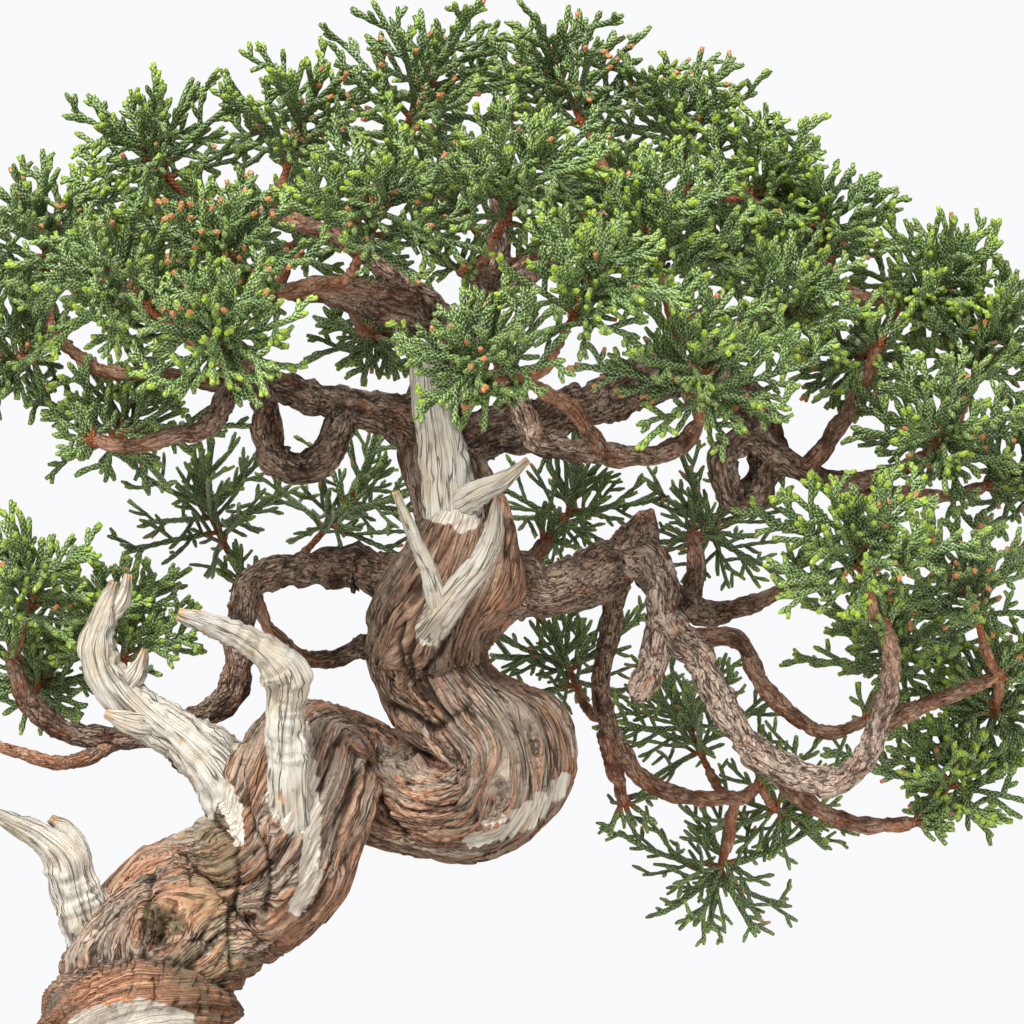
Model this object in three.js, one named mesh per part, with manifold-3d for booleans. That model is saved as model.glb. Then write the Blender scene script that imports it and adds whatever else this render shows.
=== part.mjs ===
// A potted juniper bonsai: twisted trunk with its branches and twigs, bleached deadwood,
// scale-leaf foliage in sprays, soil, drain screens and a plain clay tray. Millimetres, +Z up.
// The part's origin is the centre of its box, on the surface that the pot's feet stand on.
import * as THREE from "three";
import { mergeVertices } from "three/addons/utils/BufferGeometryUtils.js";
import Module from "manifold-3d";

// Driving dimensions

const GAP = 0.35; // clearance between touching pieces
const CUT_GAP = 0.6; // how much wider a limb is made to cut its room out of another piece

// The tree's points are given as they show from the front: x to the right and z up on the plane of
// the trunk, and depth away from the viewer, who stands at this distance from the middle of the crown.
const FRONT_VIEW = { distance: 700, x: 102.4, z: 102.4 };

const POT = {
  length: 190,
  width: 140,
  height: 52,
  footHeight: 7,
  floor: 5,
  wall: 5.5,
  corner: 16, // corner radius at the rim
  taper: 7, // how far each side leans in from rim to base
  lipHeight: 6,
  lipReach: 2.2,
  cornerSteps: 3,
  footLength: 26,
  footWidth: 20,
  footInset: 6,
  footCorner: 9,
  footSpread: 0.35, // how much longer and wider a foot gets with each millimetre of height
  drainRadius: 7,
  drainSpacing: 84,
  drainSides: 12,
};
const SCREEN = { side: 22, thickness: 0.8, cell: 4, bar: 1.6, cells: 3 };
const SOIL = { rim: 46.5, crown: 50.5, steps: 3 }; // heights at the pot's wall and at the trunk

// Where the lower left corner of the front view lies, from the middle of the pot.
const TREE_PLACE = new THREE.Vector3(-66, 0, 96);

// The trunk's centreline, from inside the soil to the top of the crown: x, z, depth, radius.
const TRUNK = [
  [34, -64, 6, 19],
  [33, -48, 5, 20],
  [29, -31, 0, 19.5],
  [25.5, -13, -7, 18.5],
  [28, 3, -11, 17.6],
  [34, 17, -6, 16.8],
  [44, 26.5, -1, 16],
  [54, 35.5, -3, 15.8],
  [59, 46, -4, 14.8],
  [61.5, 52, 3, 12.8],
  [67, 51.5, 11, 11.8],
  [74, 48, 13, 11.7],
  [82, 45, 10, 12],
  [93, 44.2, 3, 12.6],
  [101.5, 47.5, -4, 12.4],
  [102.5, 55.5, -6, 12],
  [96.5, 62, -2, 12.4],
  [91, 68, 5, 13.6],
  [88.6, 76, 5, 15],
  [89.2, 84, 0, 15.6],
  [91.6, 92, -1, 13],
  [92.6, 99, 3, 9.8],
  [90, 107, 6, 8.6],
  [87, 116, 8, 8],
  [87, 124, 8, 6.6],
  [92, 133, 7, 4.4],
  [97, 144, 5, 3.4],
  [100, 158, 3, 2.6],
  [101, 171, 2, 1.9],
];
const TRUNK_SIDES = 12;
const TRUNK_STEP = 7.5;
// The fluting that winds round the trunk: number of flutes, depth as a share of the radius, turn
// in radians a millimetre, and starting angle.
const FLUTES = [
  { count: 2, depth: 0.07, turn: 0.011, start: 0.4 },
  { count: 3, depth: 0.05, turn: 0.018, start: 1.9 },
  { count: 5, depth: 0.03, turn: 0.024, start: 0.8 },
];

// Surface roots: the direction in degrees seen from above, the reach and the radius.
const ROOTS = [
  [12, 38, 6.5],
  [80, 31, 5.5],
  [146, 32, 6],
  [216, 31, 6],
  [296, 34, 6],
];

// The living branches, each from inside what it grows from.
const BRANCHES = {
  left_low: [
    [82, 88, 6, 6.5],
    [72, 91, 12, 4.6],
    [63, 91, 12, 3.4],
    [54, 90, 10, 3],
    [49, 86, 9, 2.9],
    [48, 77, 9, 2.9],
    [46.5, 67, 9, 3],
    [41, 61.5, 10, 2.8],
    [32, 58, 12, 2.6],
    [22, 57, 13, 2.4],
    [12, 59, 13, 2.2],
    [5, 65, 12, 2],
    [2.5, 74, 10, 1.7],
  ],
  left_low_fork: [
    [24, 57, 13, 2],
    [14, 52.5, 12, 1.6],
    [4, 54, 11, 1.3],
    [-5, 58, 10, 1],
  ],
  left_back: [
    [82, 84, 8, 5],
    [74, 76, 22, 2.4],
    [62, 73, 28, 1.7],
    [55, 78, 30, 1.5],
    [50, 88, 32, 1.3],
  ],
  left_high: [
    [87, 118, 7, 6],
    [77, 122, 2, 4.4],
    [67, 124, 0, 3.5],
    [57, 127, -2, 3],
    [50, 129.5, -3, 2.6],
    [46, 127, -4, 2.2],
    [42, 120, -6, 2.1],
    [34, 117, -7, 1.8],
    [24, 115.5, -6, 1.5],
    [18, 117, -4, 1.2],
  ],
  left_hook: [
    [69, 122.5, 0, 3.2],
    [65, 114, -4, 3.2],
    [59, 111, -6, 3.3],
    [54.5, 114, -7, 3.1],
    [53, 123, -8, 2.6],
    [50, 131, -14, 2.2],
    [46, 136, -24, 1.7],
  ],
  left_high_fork: [
    [50, 129, -3, 2.2],
    [43, 128, 0, 1.8],
    [33, 130, 2, 1.6],
    [20, 131, 4, 1.4],
    [11, 137, 5, 1.2],
  ],
  left_rise: [
    [93, 134, 7, 3.6],
    [86, 144, 5, 2.8],
    [76, 152, 3, 2.2],
    [66, 158, 2, 1.8],
    [52, 162, 2, 1.5],
    [40, 164, 2, 1.2],
  ],
  left_front: [
    [88, 141, 5, 2.6],
    [78, 146, -10, 2],
    [66, 148, -20, 1.7],
    [54, 146, -28, 1.4],
  ],
  left_rear: [
    [92, 137, 7, 3],
    [78, 142, 20, 2.2],
    [62, 146, 28, 1.8],
    [46, 148, 30, 1.4],
  ],
  crown_front: [
    [97, 145, 5, 2.6],
    [96, 149, -10, 2.1],
    [92, 151, -22, 1.7],
  ],
  crown_rear: [
    [97, 143, 5, 2.6],
    [100, 148, 20, 2],
    [104, 152, 32, 1.6],
  ],
  right_rise: [
    [97, 146, 5, 3],
    [108, 152, 3, 2.6],
    [118, 158, 2, 2.1],
    [128, 164, 1, 1.7],
    [138, 166, 1, 1.3],
  ],
  right_high: [
    [88, 114, 8, 6.4],
    [97, 117.5, 10, 5.4],
    [107, 120.5, 11, 5],
    [118, 124, 11, 4.8],
    [128, 127.5, 9, 4.4],
    [137, 130, 7, 3.8],
    [146, 128, 5, 3.5],
    [152, 121, 3, 3.5],
    [153, 112, 2, 3.6],
    [150, 104.5, 0, 3.3],
    [145.5, 107, -3, 3],
    [145, 114, -4, 2.8],
    [149.5, 117, -4, 2.6],
    [156, 113, -4, 2.5],
    [161, 110, -3, 2.4],
    [168, 108.5, 0, 2.1],
    [177, 110, 2, 1.7],
    [186, 114, 3, 1.3],
  ],
  right_high_mid: [
    [137, 130, 7, 3],
    [146, 137, 4, 2.3],
    [156, 143, 2, 1.9],
    [168, 146, 1, 1.6],
    [180, 144, 2, 1.2],
  ],
  right_high_rear: [
    [120, 125, 11, 3.4],
    [130, 133, 22, 2.2],
    [140, 141, 28, 1.7],
    [146, 147, 30, 1.3],
  ],
  right_high_twig: [
    [160, 110, -3, 2],
    [166, 117, -5, 1.8],
    [172, 127, -5, 1.5],
    [176, 136, -4, 1.2],
  ],
  right_high_low: [
    [162, 109, -3, 2],
    [170, 107, 4, 1.8],
    [180, 106, 8, 1.6],
    [190, 105.5, 10, 1.4],
    [198, 108, 10, 1.2],
  ],
  front_cross: [
    [98, 140, 5, 2.6],
    [100, 135, -8, 2.3],
    [104, 124, -14, 2.3],
    [108, 115.8, -16, 2.3],
    [116, 114.8, -18, 2.2],
    [126, 113.5, -21, 2.1],
    [135, 115, -25, 1.9],
    [140.5, 121, -29, 1.5],
  ],
  front_cross_fork: [
    [120, 114.5, -19, 1.9],
    [116, 121, -24, 1.6],
    [110, 126, -32, 1.4],
    [104, 129, -38, 1.2],
  ],
  right_low: [
    [92, 92, 0, 8],
    [101, 88, 1, 6.4],
    [109, 86.6, 2, 5.6],
    [116, 88, 3, 5.5],
    [123, 92, 3, 5.6],
    [127.5, 97, 2, 4.2],
    [130.5, 103, 1, 1.2],
  ],
  right_low_drop: [
    [125, 94, 2, 3.6],
    [130.5, 92, -4, 3.3],
    [132.5, 86, -7, 3.2],
    [132, 78, -7, 3],
    [130, 71, -7, 2.9],
    [127, 64.5, -6, 2.7],
  ],
  right_low_arm: [
    [132.5, 82, -7, 2.8],
    [136, 77.5, -8, 3],
    [141, 71, -9, 3],
    [146, 61, -9, 3],
    [152, 54, -9, 2.9],
    [160, 49.5, -9, 2.9],
    [168, 49, -9, 2.7],
    [172.5, 53.5, -11, 2.5],
    [176, 61, -14, 2.2],
    [178.5, 70, -19, 1.9],
    [177, 80, -25, 1.5],
  ],
  right_low_lateral: [
    [175, 59, -13, 2],
    [181, 62.5, -11, 1.7],
    [191, 66, -7, 1.5],
    [200, 70, -3, 1.2],
  ],
  right_low_under: [
    [152, 54, -9, 2.2],
    [157, 48, -4, 1.8],
    [164, 42.5, -1, 1.7],
    [175, 39.5, 0, 1.6],
    [184, 40.5, 1, 1.3],
  ],
  right_low_bow: [
    [132, 79, -6, 2],
    [139, 77.5, -2, 1.8],
    [147, 77, 1, 1.9],
    [151, 71, 2, 1.8],
    [157, 63, 3, 1.7],
    [166, 58.5, 5, 1.5],
    [174, 61, 8, 1.2],
  ],
  right_low_rear: [
    [127, 93, 3, 3.4],
    [134, 86, 10, 3],
    [141, 82.5, 16, 2.5],
    [150, 84, 20, 1.9],
    [159, 88, 20, 1.4],
  ],
  right_low_rise: [
    [138, 84, 14, 2.2],
    [139, 92, 20, 1.8],
    [138.5, 98, 26, 1.3],
  ],
  right_low_ring: [
    [123, 92, 3, 4],
    [122.5, 83, 11, 2.3],
    [120.5, 73, 15, 2.1],
    [121, 62, 18, 2],
    [126, 52, 22, 1.9],
    [135, 46, 27, 1.8],
    [147, 45, 33, 1.5],
    [152, 48, 36, 1.2],
  ],
  right_low_ring_fork: [
    [121, 58, 19, 1.7],
    [123, 50, 25, 1.5],
    [125, 44, 32, 1.2],
  ],
  rear_mid: [
    [91, 92, 2, 5],
    [100, 93, 16, 2.4],
    [106, 93, 27, 1.7],
    [109, 97, 33, 1.3],
  ],
};
const BRANCH_SIDES = 5;
const BRANCH_STEP = 10;

// The bleached deadwood. Each jin is a list of prongs; flat is the share of its width left in depth.
const DEADWOOD = {
  jin_low_left: {
    flat: 0.75,
    prongs: [
      [
        [21, 15, -8, 6],
        [15.5, 26, -10, 5],
        [13, 33, -12, 4.2],
        [8, 37.5, -13, 3],
        [2, 40.5, -14, 2],
        [-4, 43.5, -15, 0.9],
      ],
      [
        [14.5, 28, -10, 4.2],
        [14.5, 35, -11, 3],
        [12.5, 39, -12, 2],
        [10, 41, -13, 1.1],
      ],
    ],
  },
  jin_left_long: {
    flat: 0.7,
    prongs: [
      [
        [50, 42, -3, 8],
        [44, 51, -5, 6.8],
        [37, 57, -6, 5.4],
        [29, 62, -7, 4.8],
        [22.5, 68, -8, 4.2],
        [19.5, 75, -9, 3.5],
        [21, 82, -10, 2.8],
        [23, 88.5, -11, 1.1],
      ],
      [
        [21, 80, -10, 2.4],
        [24.5, 85, -10, 1.7],
        [25.6, 90, -10, 0.9],
      ],
      [
        [24.5, 66, -8, 3],
        [27.5, 70.5, -9, 1.9],
        [29, 75, -9, 0.8],
      ],
      [
        [31, 59.5, -8, 3.6],
        [25, 60.5, -10, 2.2],
        [21, 62, -11, 1.1],
      ],
    ],
  },
  jin_left_bent: {
    flat: 0.85,
    prongs: [
      [
        [59, 35, -11, 5],
        [58, 45, -17, 4.4],
        [57.5, 55, -20, 4.1],
        [57.2, 64, -22, 4],
        [57, 70, -24, 4.4],
        [53.5, 74, -26, 3.6],
        [47, 78, -28, 2.8],
        [40, 80.5, -30, 2.2],
        [35.5, 82, -31, 1.3],
      ],
    ],
  },
  jin_crown: {
    flat: 0.42,
    prongs: [
      [
        [91, 90, -5, 8],
        [90, 98, -6, 7.6],
        [89, 107, -5, 6.6],
        [87.5, 117, -5, 5.2],
        [86, 125, -6, 4],
        [85, 132, -8, 2.6],
        [87, 138, -10, 0.9],
      ],
      [
        [90, 103, -6, 3.4],
        [96, 106.5, -10, 2.6],
        [101, 109, -13, 1.8],
        [105.5, 113, -16, 0.8],
      ],
    ],
  },
  jin_centre_fork: {
    flat: 0.8,
    prongs: [
      [
        [85, 76, -8, 4.2],
        [88, 82, -17, 3.8],
        [92, 87, -21, 3.4],
        [96, 92, -24, 2.9],
        [98.5, 98, -26, 2.2],
        [99.5, 105.5, -28, 0.9],
      ],
      [
        [88, 82, -18, 2.6],
        [86, 90, -22, 1.7],
        [82.5, 98, -26, 1.4],
        [79, 106.5, -30, 0.8],
      ],
    ],
  },
};
const DEADWOOD_SIDES = 6;
const DEADWOOD_STEP = 7;

// The foliage: for each branchlet the middle of the room that its sprays fill (x, z, depth) and
// half its width, height and depth.
const FOLIAGE = {
  top_left_end: [9, 157, 4, 15, 13, 17],
  top_left: [33, 174, 3, 17, 13, 18],
  top_left_mid: [60, 180, 5, 17, 13, 18],
  top_centre: [86, 189, 3, 17, 14, 18],
  top_right_mid: [112, 190, 5, 17, 13, 18],
  top_right: [136, 179, 3, 17, 13, 18],
  top_right_end: [151, 169, 0, 13, 12, 16],
  front_left_end: [24, 149, -26, 16, 12, 16],
  front_left: [48, 154, -32, 18, 12, 16],
  front_left_mid: [76, 163, -32, 18, 13, 16],
  front_right_mid: [104, 168, -32, 18, 13, 16],
  front_right: [130, 159, -30, 17, 13, 16],
  near_left: [44, 138, -50, 17, 11, 14],
  near_centre: [97, 133, -52, 15, 10, 14],
  near_centre_high: [118, 148, -54, 16, 11, 13],
  near_right: [140, 131, -42, 19, 14, 15],
  left_mid: [7, 137, 5, 15, 12, 16],
  left_under: [24, 121, 8, 17, 11, 16],
  left_inner: [35, 142, -13, 14, 10, 13],
  rear_left: [30, 155, 36, 17, 13, 16],
  rear_left_mid: [60, 160, 40, 17, 13, 16],
  rear_centre: [90, 167, 42, 17, 13, 16],
  rear_right_mid: [120, 167, 42, 17, 13, 16],
  rear_right: [147, 156, 36, 16, 13, 16],
  rear_low_left: [75, 139, 42, 15, 11, 14],
  right_shoulder: [165, 158, 0, 14, 12, 16],
  right_outer: [184, 148, 3, 16, 12, 17],
  right_end: [198, 137, 5, 13, 13, 16],
  right_inner: [172, 135, 16, 15, 11, 15],
  right_front: [158, 143, -20, 14, 11, 13],
  right_low_front: [188, 119, -14, 16, 11, 15],
  right_low_end: [203, 111, 12, 12, 11, 15],
  skirt_front: [172, 95, -38, 19, 12, 15],
  skirt_mid: [194, 88, -12, 16, 13, 16],
  skirt_rear: [178, 76, 14, 15, 12, 15],
  skirt_end: [199, 66, 8, 14, 13, 15],
  skirt_low: [188, 49, 2, 17, 12, 16],
  hanging_left: [113, 73, 42, 14, 11, 14],
  hanging_mid: [138, 60, 46, 15, 12, 14],
  hanging_low: [144, 32, 46, 17, 12, 13],
  hanging_right: [156, 45, 46, 13, 12, 13],
  behind_left: [43, 103, 36, 17, 12, 15],
  behind_left_mid: [70, 105, 40, 15, 11, 15],
  behind_right: [113, 104, 44, 14, 13, 14],
  behind_right_end: [142, 101, 38, 13, 12, 14],
  low_left_end: [6, 87, 6, 13, 11, 14],
  low_left: [25, 80, 20, 15, 12, 14],
  low_left_under: [8, 70, 22, 12, 9, 12],
};
// A twig shorter than straight has no bend.
const TWIG = { base: 1.25, tip: 1.05, reach: 0.62, straight: 18 };
const SPRAY = {
  knots: 4, // places on the main stem from which side stems and shoots grow
  knotLength: 1.8,
  stemRadius: [1.15, 0.85], // at the foot and at the tip
  sideRadius: [0.95, 0.8],
  shootRadius: 0.75,
  shootLength: [4.5, 8],
  shootLean: 0.85, // radians between a shoot and its stem
  footLength: 1.9, // how far from its own foot a limb may lie against its neighbours
  sideOpening: [1.9, 0.65], // radians from the main stem's direction, first and last side stem
};

const COLOURS = {
  bark: { color: 0x7d5a42, roughness: 0.9 },
  deadwood: { color: 0xd9d5c8, roughness: 0.8 },
  foliage: { color: 0x3f6b3c, roughness: 0.6 },
  clay: { color: 0x6b4634, roughness: 0.75 },
  soil: { color: 0x5b4a3a, roughness: 1 },
  screen: { color: 0x2b2e2c, roughness: 0.5 },
};

// Closed meshes and solids

const wasm = await Module();
wasm.setup();

// Joins a row of rings, each with the same number of points and turning the same way, and closes
// both ends.
function loft(rings) {
  const sides = rings[0].length;
  const positions = rings.flat().flatMap((p) => [p.x, p.y, p.z]);
  const index = [];
  for (let i = 0; i + 1 < rings.length; i++) {
    for (let j = 0; j < sides; j++) {
      const next = (j + 1) % sides;
      const [a, b] = [i * sides + j, i * sides + next];
      const [c, d] = [b + sides, a + sides];
      index.push(a, b, c, a, c, d);
    }
  }
  const last = (rings.length - 1) * sides;
  for (let j = 1; j + 1 < sides; j++) {
    index.push(0, j + 1, j, last, last + j, last + j + 1);
  }
  return new THREE.BufferGeometry()
    .setAttribute("position", new THREE.Float32BufferAttribute(positions, 3))
    .setIndex(index);
}

function solidOf(geometry) {
  const bare = geometry.clone();
  bare.deleteAttribute("normal");
  bare.deleteAttribute("uv");
  const merged = mergeVertices(bare, 1e-4);
  return new wasm.Manifold(
    new wasm.Mesh({
      numProp: 3,
      vertProperties: new Float32Array(merged.attributes.position.array),
      triVerts: new Uint32Array(merged.index.array),
    }),
  );
}

const join = (solids) => solids.reduce((whole, solid) => whole.add(solid));

// A boolean can leave a scrap beside the main body: only the largest body is kept.
function largestBody(solid) {
  const bodies = solid.decompose();
  return bodies.reduce((a, b) => (b.volume() > a.volume() ? b : a));
}

function geometryOf(solid) {
  const made = solid.getMesh();
  const positions = new Float32Array(made.vertProperties);
  return new THREE.BufferGeometry()
    .setAttribute("position", new THREE.BufferAttribute(positions, 3))
    .setIndex(new THREE.BufferAttribute(new Uint32Array(made.triVerts), 1));
}

function meshOf(name, geometry, look) {
  geometry.computeVertexNormals();
  const mesh = new THREE.Mesh(geometry, new THREE.MeshStandardMaterial({ ...look, metalness: 0 }));
  mesh.name = name;
  return mesh;
}

// Limbs: a section swept along a smooth line, with a radius at each point

// Where a point that shows at x, z from the front lies in the part, at this depth.
function place(x, z, depth) {
  const grow = 1 + depth / FRONT_VIEW.distance;
  return new THREE.Vector3(
    FRONT_VIEW.x + (x - FRONT_VIEW.x) * grow,
    depth,
    FRONT_VIEW.z + (z - FRONT_VIEW.z) * grow,
  ).add(TREE_PLACE);
}

const placed = (rows) => rows.map(([x, z, depth, r]) => ({ at: place(x, z, depth), r }));

// Stations along the smooth line through the points, each with its place, radius, direction, the
// two directions across it, and its distance from the start.
function stationsOf(points, step) {
  const curve = new THREE.CatmullRomCurve3(points.map((p) => p.at), false, "catmullrom", 0.5);
  const spans = points.length - 1;
  const stations = [];
  for (let i = 0; i < spans; i++) {
    const parts = Math.max(1, Math.round(points[i].at.distanceTo(points[i + 1].at) / step));
    for (let k = 0; k < parts + (i === spans - 1 ? 1 : 0); k++) {
      const t = k / parts;
      const r = points[i].r + (points[i + 1].r - points[i].r) * t;
      stations.push({ at: curve.getPoint((i + t) / spans), r });
    }
  }
  const towardsViewer = new THREE.Vector3(0, -1, 0);
  let across = towardsViewer;
  let run = 0;
  stations.forEach((station, i) => {
    const before = stations[Math.max(i - 1, 0)].at;
    const after = stations[Math.min(i + 1, stations.length - 1)].at;
    const along = after.clone().sub(before).normalize();
    across = across.clone().addScaledVector(along, -across.dot(along)).normalize();
    run += station.at.distanceTo(before);
    Object.assign(station, { along, across, side: along.clone().cross(across), run });
  });
  return stations;
}

// How much wider the trunk's section is at this angle and this distance along it.
function fluting(angle, run) {
  return FLUTES.reduce(
    (sum, f) => sum + f.depth * Math.cos(f.count * (angle - f.turn * run) + f.start),
    1,
  );
}

// The rings round the stations. flat squeezes the section in depth, shape varies its radius, and
// grow widens it all round.
function ringsOf(stations, sides, { flat = 1, shape = () => 1, grow = 0 } = {}) {
  return stations.map(({ at, r, across, side, run }) =>
    Array.from({ length: sides }, (_, j) => {
      const angle = (2 * Math.PI * j) / sides;
      const radius = r * shape(angle, run) + grow;
      return at
        .clone()
        .addScaledVector(across, radius * Math.cos(angle) * flat)
        .addScaledVector(side, radius * Math.sin(angle));
    }),
  );
}

const limb = (stations, sides, options) => solidOf(loft(ringsOf(stations, sides, options)));

// A limb widened all round and at both ends, to cut the room for it out of another piece.
function roomFor(stations, sides, shape) {
  const longer = stations.map((station) => ({ ...station, at: station.at.clone() }));
  longer[0].at.addScaledVector(longer[0].along, -GAP);
  longer.at(-1).at.addScaledVector(longer.at(-1).along, GAP);
  return limb(longer, sides, { shape, grow: CUT_GAP });
}

// The room that is taken, so that what grows later stays clear of it

const taken = [];

function take(stations, node, widen = 1) {
  for (let i = 0; i + 1 < stations.length; i++) {
    const [a, b] = [stations[i], stations[i + 1]];
    taken.push({ a: a.at, b: b.at, r: Math.max(a.r, b.r) * widen, node });
  }
}

// The shortest distance between the segments p-q and a-b.
function segmentDistance(p, q, a, b) {
  const u = q.clone().sub(p);
  const v = b.clone().sub(a);
  const w = p.clone().sub(a);
  const [uu, uv, vv, uw, vw] = [u.dot(u), u.dot(v), v.dot(v), u.dot(w), v.dot(w)];
  const det = uu * vv - uv * uv;
  let s = det < 1e-9 ? 0 : THREE.MathUtils.clamp((uv * vw - vv * uw) / det, 0, 1);
  const t = vv < 1e-9 ? 0 : THREE.MathUtils.clamp((uv * s + vw) / vv, 0, 1);
  s = uu < 1e-9 ? 0 : THREE.MathUtils.clamp((uv * t - uw) / uu, 0, 1);
  return w.addScaledVector(u, s).addScaledVector(v, -t).length();
}

const isClear = (stations, node) =>
  stations.every((station, i) => {
    if (i === 0) return true;
    const before = stations[i - 1];
    const r = Math.max(before.r, station.r);
    return taken.every(
      (t) => t.node === node || segmentDistance(before.at, station.at, t.a, t.b) > r + t.r + GAP,
    );
  });

// A repeatable number from 0 to 1 for a pair of counts.
function chance(i, j) {
  const s = Math.sin(i * 12.9898 + j * 78.233) * 43758.5453;
  return s - Math.floor(s);
}

// Pot, screens and soil

// A rectangle with round corners at height z, turning anticlockwise from above.
function tray(length, width, corner, z, steps = POT.cornerSteps) {
  const points = [];
  for (let quarter = 0; quarter < 4; quarter++) {
    const cx = (quarter === 0 || quarter === 3 ? 1 : -1) * (length / 2 - corner);
    const cy = (quarter < 2 ? 1 : -1) * (width / 2 - corner);
    for (let k = 0; k <= steps; k++) {
      const angle = (quarter + k / steps) * (Math.PI / 2);
      points.push(
        new THREE.Vector3(cx + corner * Math.cos(angle), cy + corner * Math.sin(angle), z),
      );
    }
  }
  return points;
}

// The tray's outline inset by this much at height z, with the lean of the pot's sides.
function potOutline(inset, z) {
  const lean = (POT.taper * (POT.height - z)) / POT.height;
  const shrink = 2 * (inset + lean);
  return tray(POT.length - shrink, POT.width - shrink, Math.max(POT.corner - inset, 4), z);
}

const inner = POT.lipReach + POT.wall;
const potFloor = POT.footHeight + POT.floor;

function makePot() {
  const shell = loft([
    potOutline(POT.lipReach, POT.footHeight),
    potOutline(POT.lipReach, POT.height - POT.lipHeight),
    potOutline(0, POT.height - POT.lipHeight + 1.5),
    potOutline(0, POT.height),
    potOutline(inner, POT.height),
    potOutline(inner, potFloor),
  ]);
  let pot = solidOf(shell);
  const [footX, footY] = [
    POT.length / 2 - POT.taper - POT.footLength / 2 - POT.footInset,
    POT.width / 2 - POT.taper - POT.footWidth / 2 - POT.footInset,
  ];
  for (const [x, y] of [[1, 1], [-1, 1], [-1, -1], [1, -1]]) {
    const foot = loft(
      [0, POT.footHeight + 1].map((z) => {
        const spread = POT.footSpread * z;
        return tray(POT.footLength + spread, POT.footWidth + spread, POT.footCorner, z, 2);
      }),
    );
    pot = pot.add(solidOf(foot.translate(x * footX, y * footY, 0)));
  }
  for (const end of [-1, 1]) {
    const hole = new THREE.CylinderGeometry(
      POT.drainRadius,
      POT.drainRadius,
      4 * POT.floor,
      POT.drainSides,
    );
    hole.rotateX(Math.PI / 2).translate((end * POT.drainSpacing) / 2, 0, potFloor);
    pot = pot.subtract(solidOf(hole));
  }
  return pot;
}

function box(width, depth, height, x, y, z) {
  return solidOf(new THREE.BoxGeometry(width, depth, height).translate(x, y, z));
}

// A drain screen lies on the pot's floor over its hole.
function makeScreen(end) {
  const x = (end * POT.drainSpacing) / 2;
  const z = potFloor + GAP + SCREEN.thickness / 2;
  let screen = box(SCREEN.side, SCREEN.side, SCREEN.thickness, x, 0, z);
  const pitch = SCREEN.cell + SCREEN.bar;
  for (let i = 0; i < SCREEN.cells; i++) {
    for (let j = 0; j < SCREEN.cells; j++) {
      const [dx, dy] = [i, j].map((n) => (n - (SCREEN.cells - 1) / 2) * pitch);
      screen = screen.subtract(box(SCREEN.cell, SCREEN.cell, 3, x + dx, dy, z));
    }
  }
  return screen;
}

function makeSoil(holes) {
  const foot = place(TRUNK[1][0], TRUNK[1][1], TRUNK[1][2]);
  const edge = potOutline(inner + GAP, SOIL.rim);
  const rings = [potOutline(inner + GAP, potFloor + GAP), edge];
  for (let k = 1; k <= SOIL.steps; k++) {
    const share = (0.9 * k) / SOIL.steps;
    const height = SOIL.rim + (SOIL.crown - SOIL.rim) * Math.sin((share * Math.PI) / 2);
    rings.push(edge.map((p) => p.clone().lerp(foot, share).setZ(height)));
  }
  let soil = solidOf(loft(rings));
  for (const end of [-1, 1]) {
    const side = SCREEN.side + 2 * GAP;
    const height = SCREEN.thickness + 3 * GAP;
    soil = soil.subtract(
      box(side, side, height, (end * POT.drainSpacing) / 2, 0, potFloor + height / 2),
    );
  }
  return largestBody(soil.subtract(holes));
}

// Trunk, roots, branches and twigs

const trunkStations = stationsOf(placed(TRUNK), TRUNK_STEP);
const trunkRoom = roomFor(trunkStations, TRUNK_SIDES, fluting);
const soilLevel = SOIL.crown;

function rootStations([degrees, reach, radius]) {
  const angle = THREE.MathUtils.degToRad(degrees);
  const out = new THREE.Vector3(Math.cos(angle), Math.sin(angle), 0);
  const foot = place(TRUNK[1][0], TRUNK[1][1], TRUNK[1][2]).setZ(0);
  const at = (share, z) => foot.clone().addScaledVector(out, reach * share).setZ(z);
  return stationsOf(
    [
      { at: at(0.2, soilLevel + 7), r: radius * 1.15 },
      { at: at(0.55, soilLevel + 2.5), r: radius },
      { at: at(0.85, soilLevel - 4), r: radius * 0.7 },
      { at: at(1, soilLevel - 11), r: radius * 0.35 },
    ],
    15,
  );
}
const roots = ROOTS.map(rootStations);

const branches = Object.values(BRANCHES).map((rows) => stationsOf(placed(rows), BRANCH_STEP));

// The twig that carries a branchlet: from the nearest station of a branch, curving up to the foot
// of its foliage.
function twigStations([x, z, depth, , halfHeight]) {
  const middle = place(x, z, depth);
  const anchor = middle.clone().setZ(middle.z - halfHeight * 0.5);
  const nearest = branches
    .flat()
    .reduce((a, b) => (b.at.distanceTo(anchor) < a.at.distanceTo(anchor) ? b : a));
  const span = middle.clone().sub(nearest.at);
  const foot = nearest.at.clone().addScaledVector(span, TWIG.reach);
  foot.z -= halfHeight * 0.25;
  const bend = nearest.at.clone().lerp(foot, 0.5);
  bend.z -= span.length() * 0.1;
  const base = Math.min(TWIG.base, nearest.r * 0.9);
  const points = [
    { at: nearest.at, r: base },
    { at: bend, r: (base + TWIG.tip) / 2 },
    { at: foot, r: TWIG.tip },
  ];
  if (span.length() < TWIG.straight) points.splice(1, 1);
  return stationsOf(points, span.length());
}
const twigs = Object.fromEntries(
  Object.entries(FOLIAGE).map(([name, room]) => [name, twigStations(room)]),
);

function makeWood() {
  take(trunkStations, "wood", 1.15);
  [...branches, ...Object.values(twigs), ...roots].forEach((s) => take(s, "wood"));
  return largestBody(
    join([
      limb(trunkStations, TRUNK_SIDES, { shape: fluting }),
      ...roots.map((s) => limb(s, BRANCH_SIDES)),
      ...branches.map((s) => limb(s, BRANCH_SIDES)),
      ...Object.values(twigs).map((s) => limb(s, 3)),
    ]),
  );
}

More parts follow.
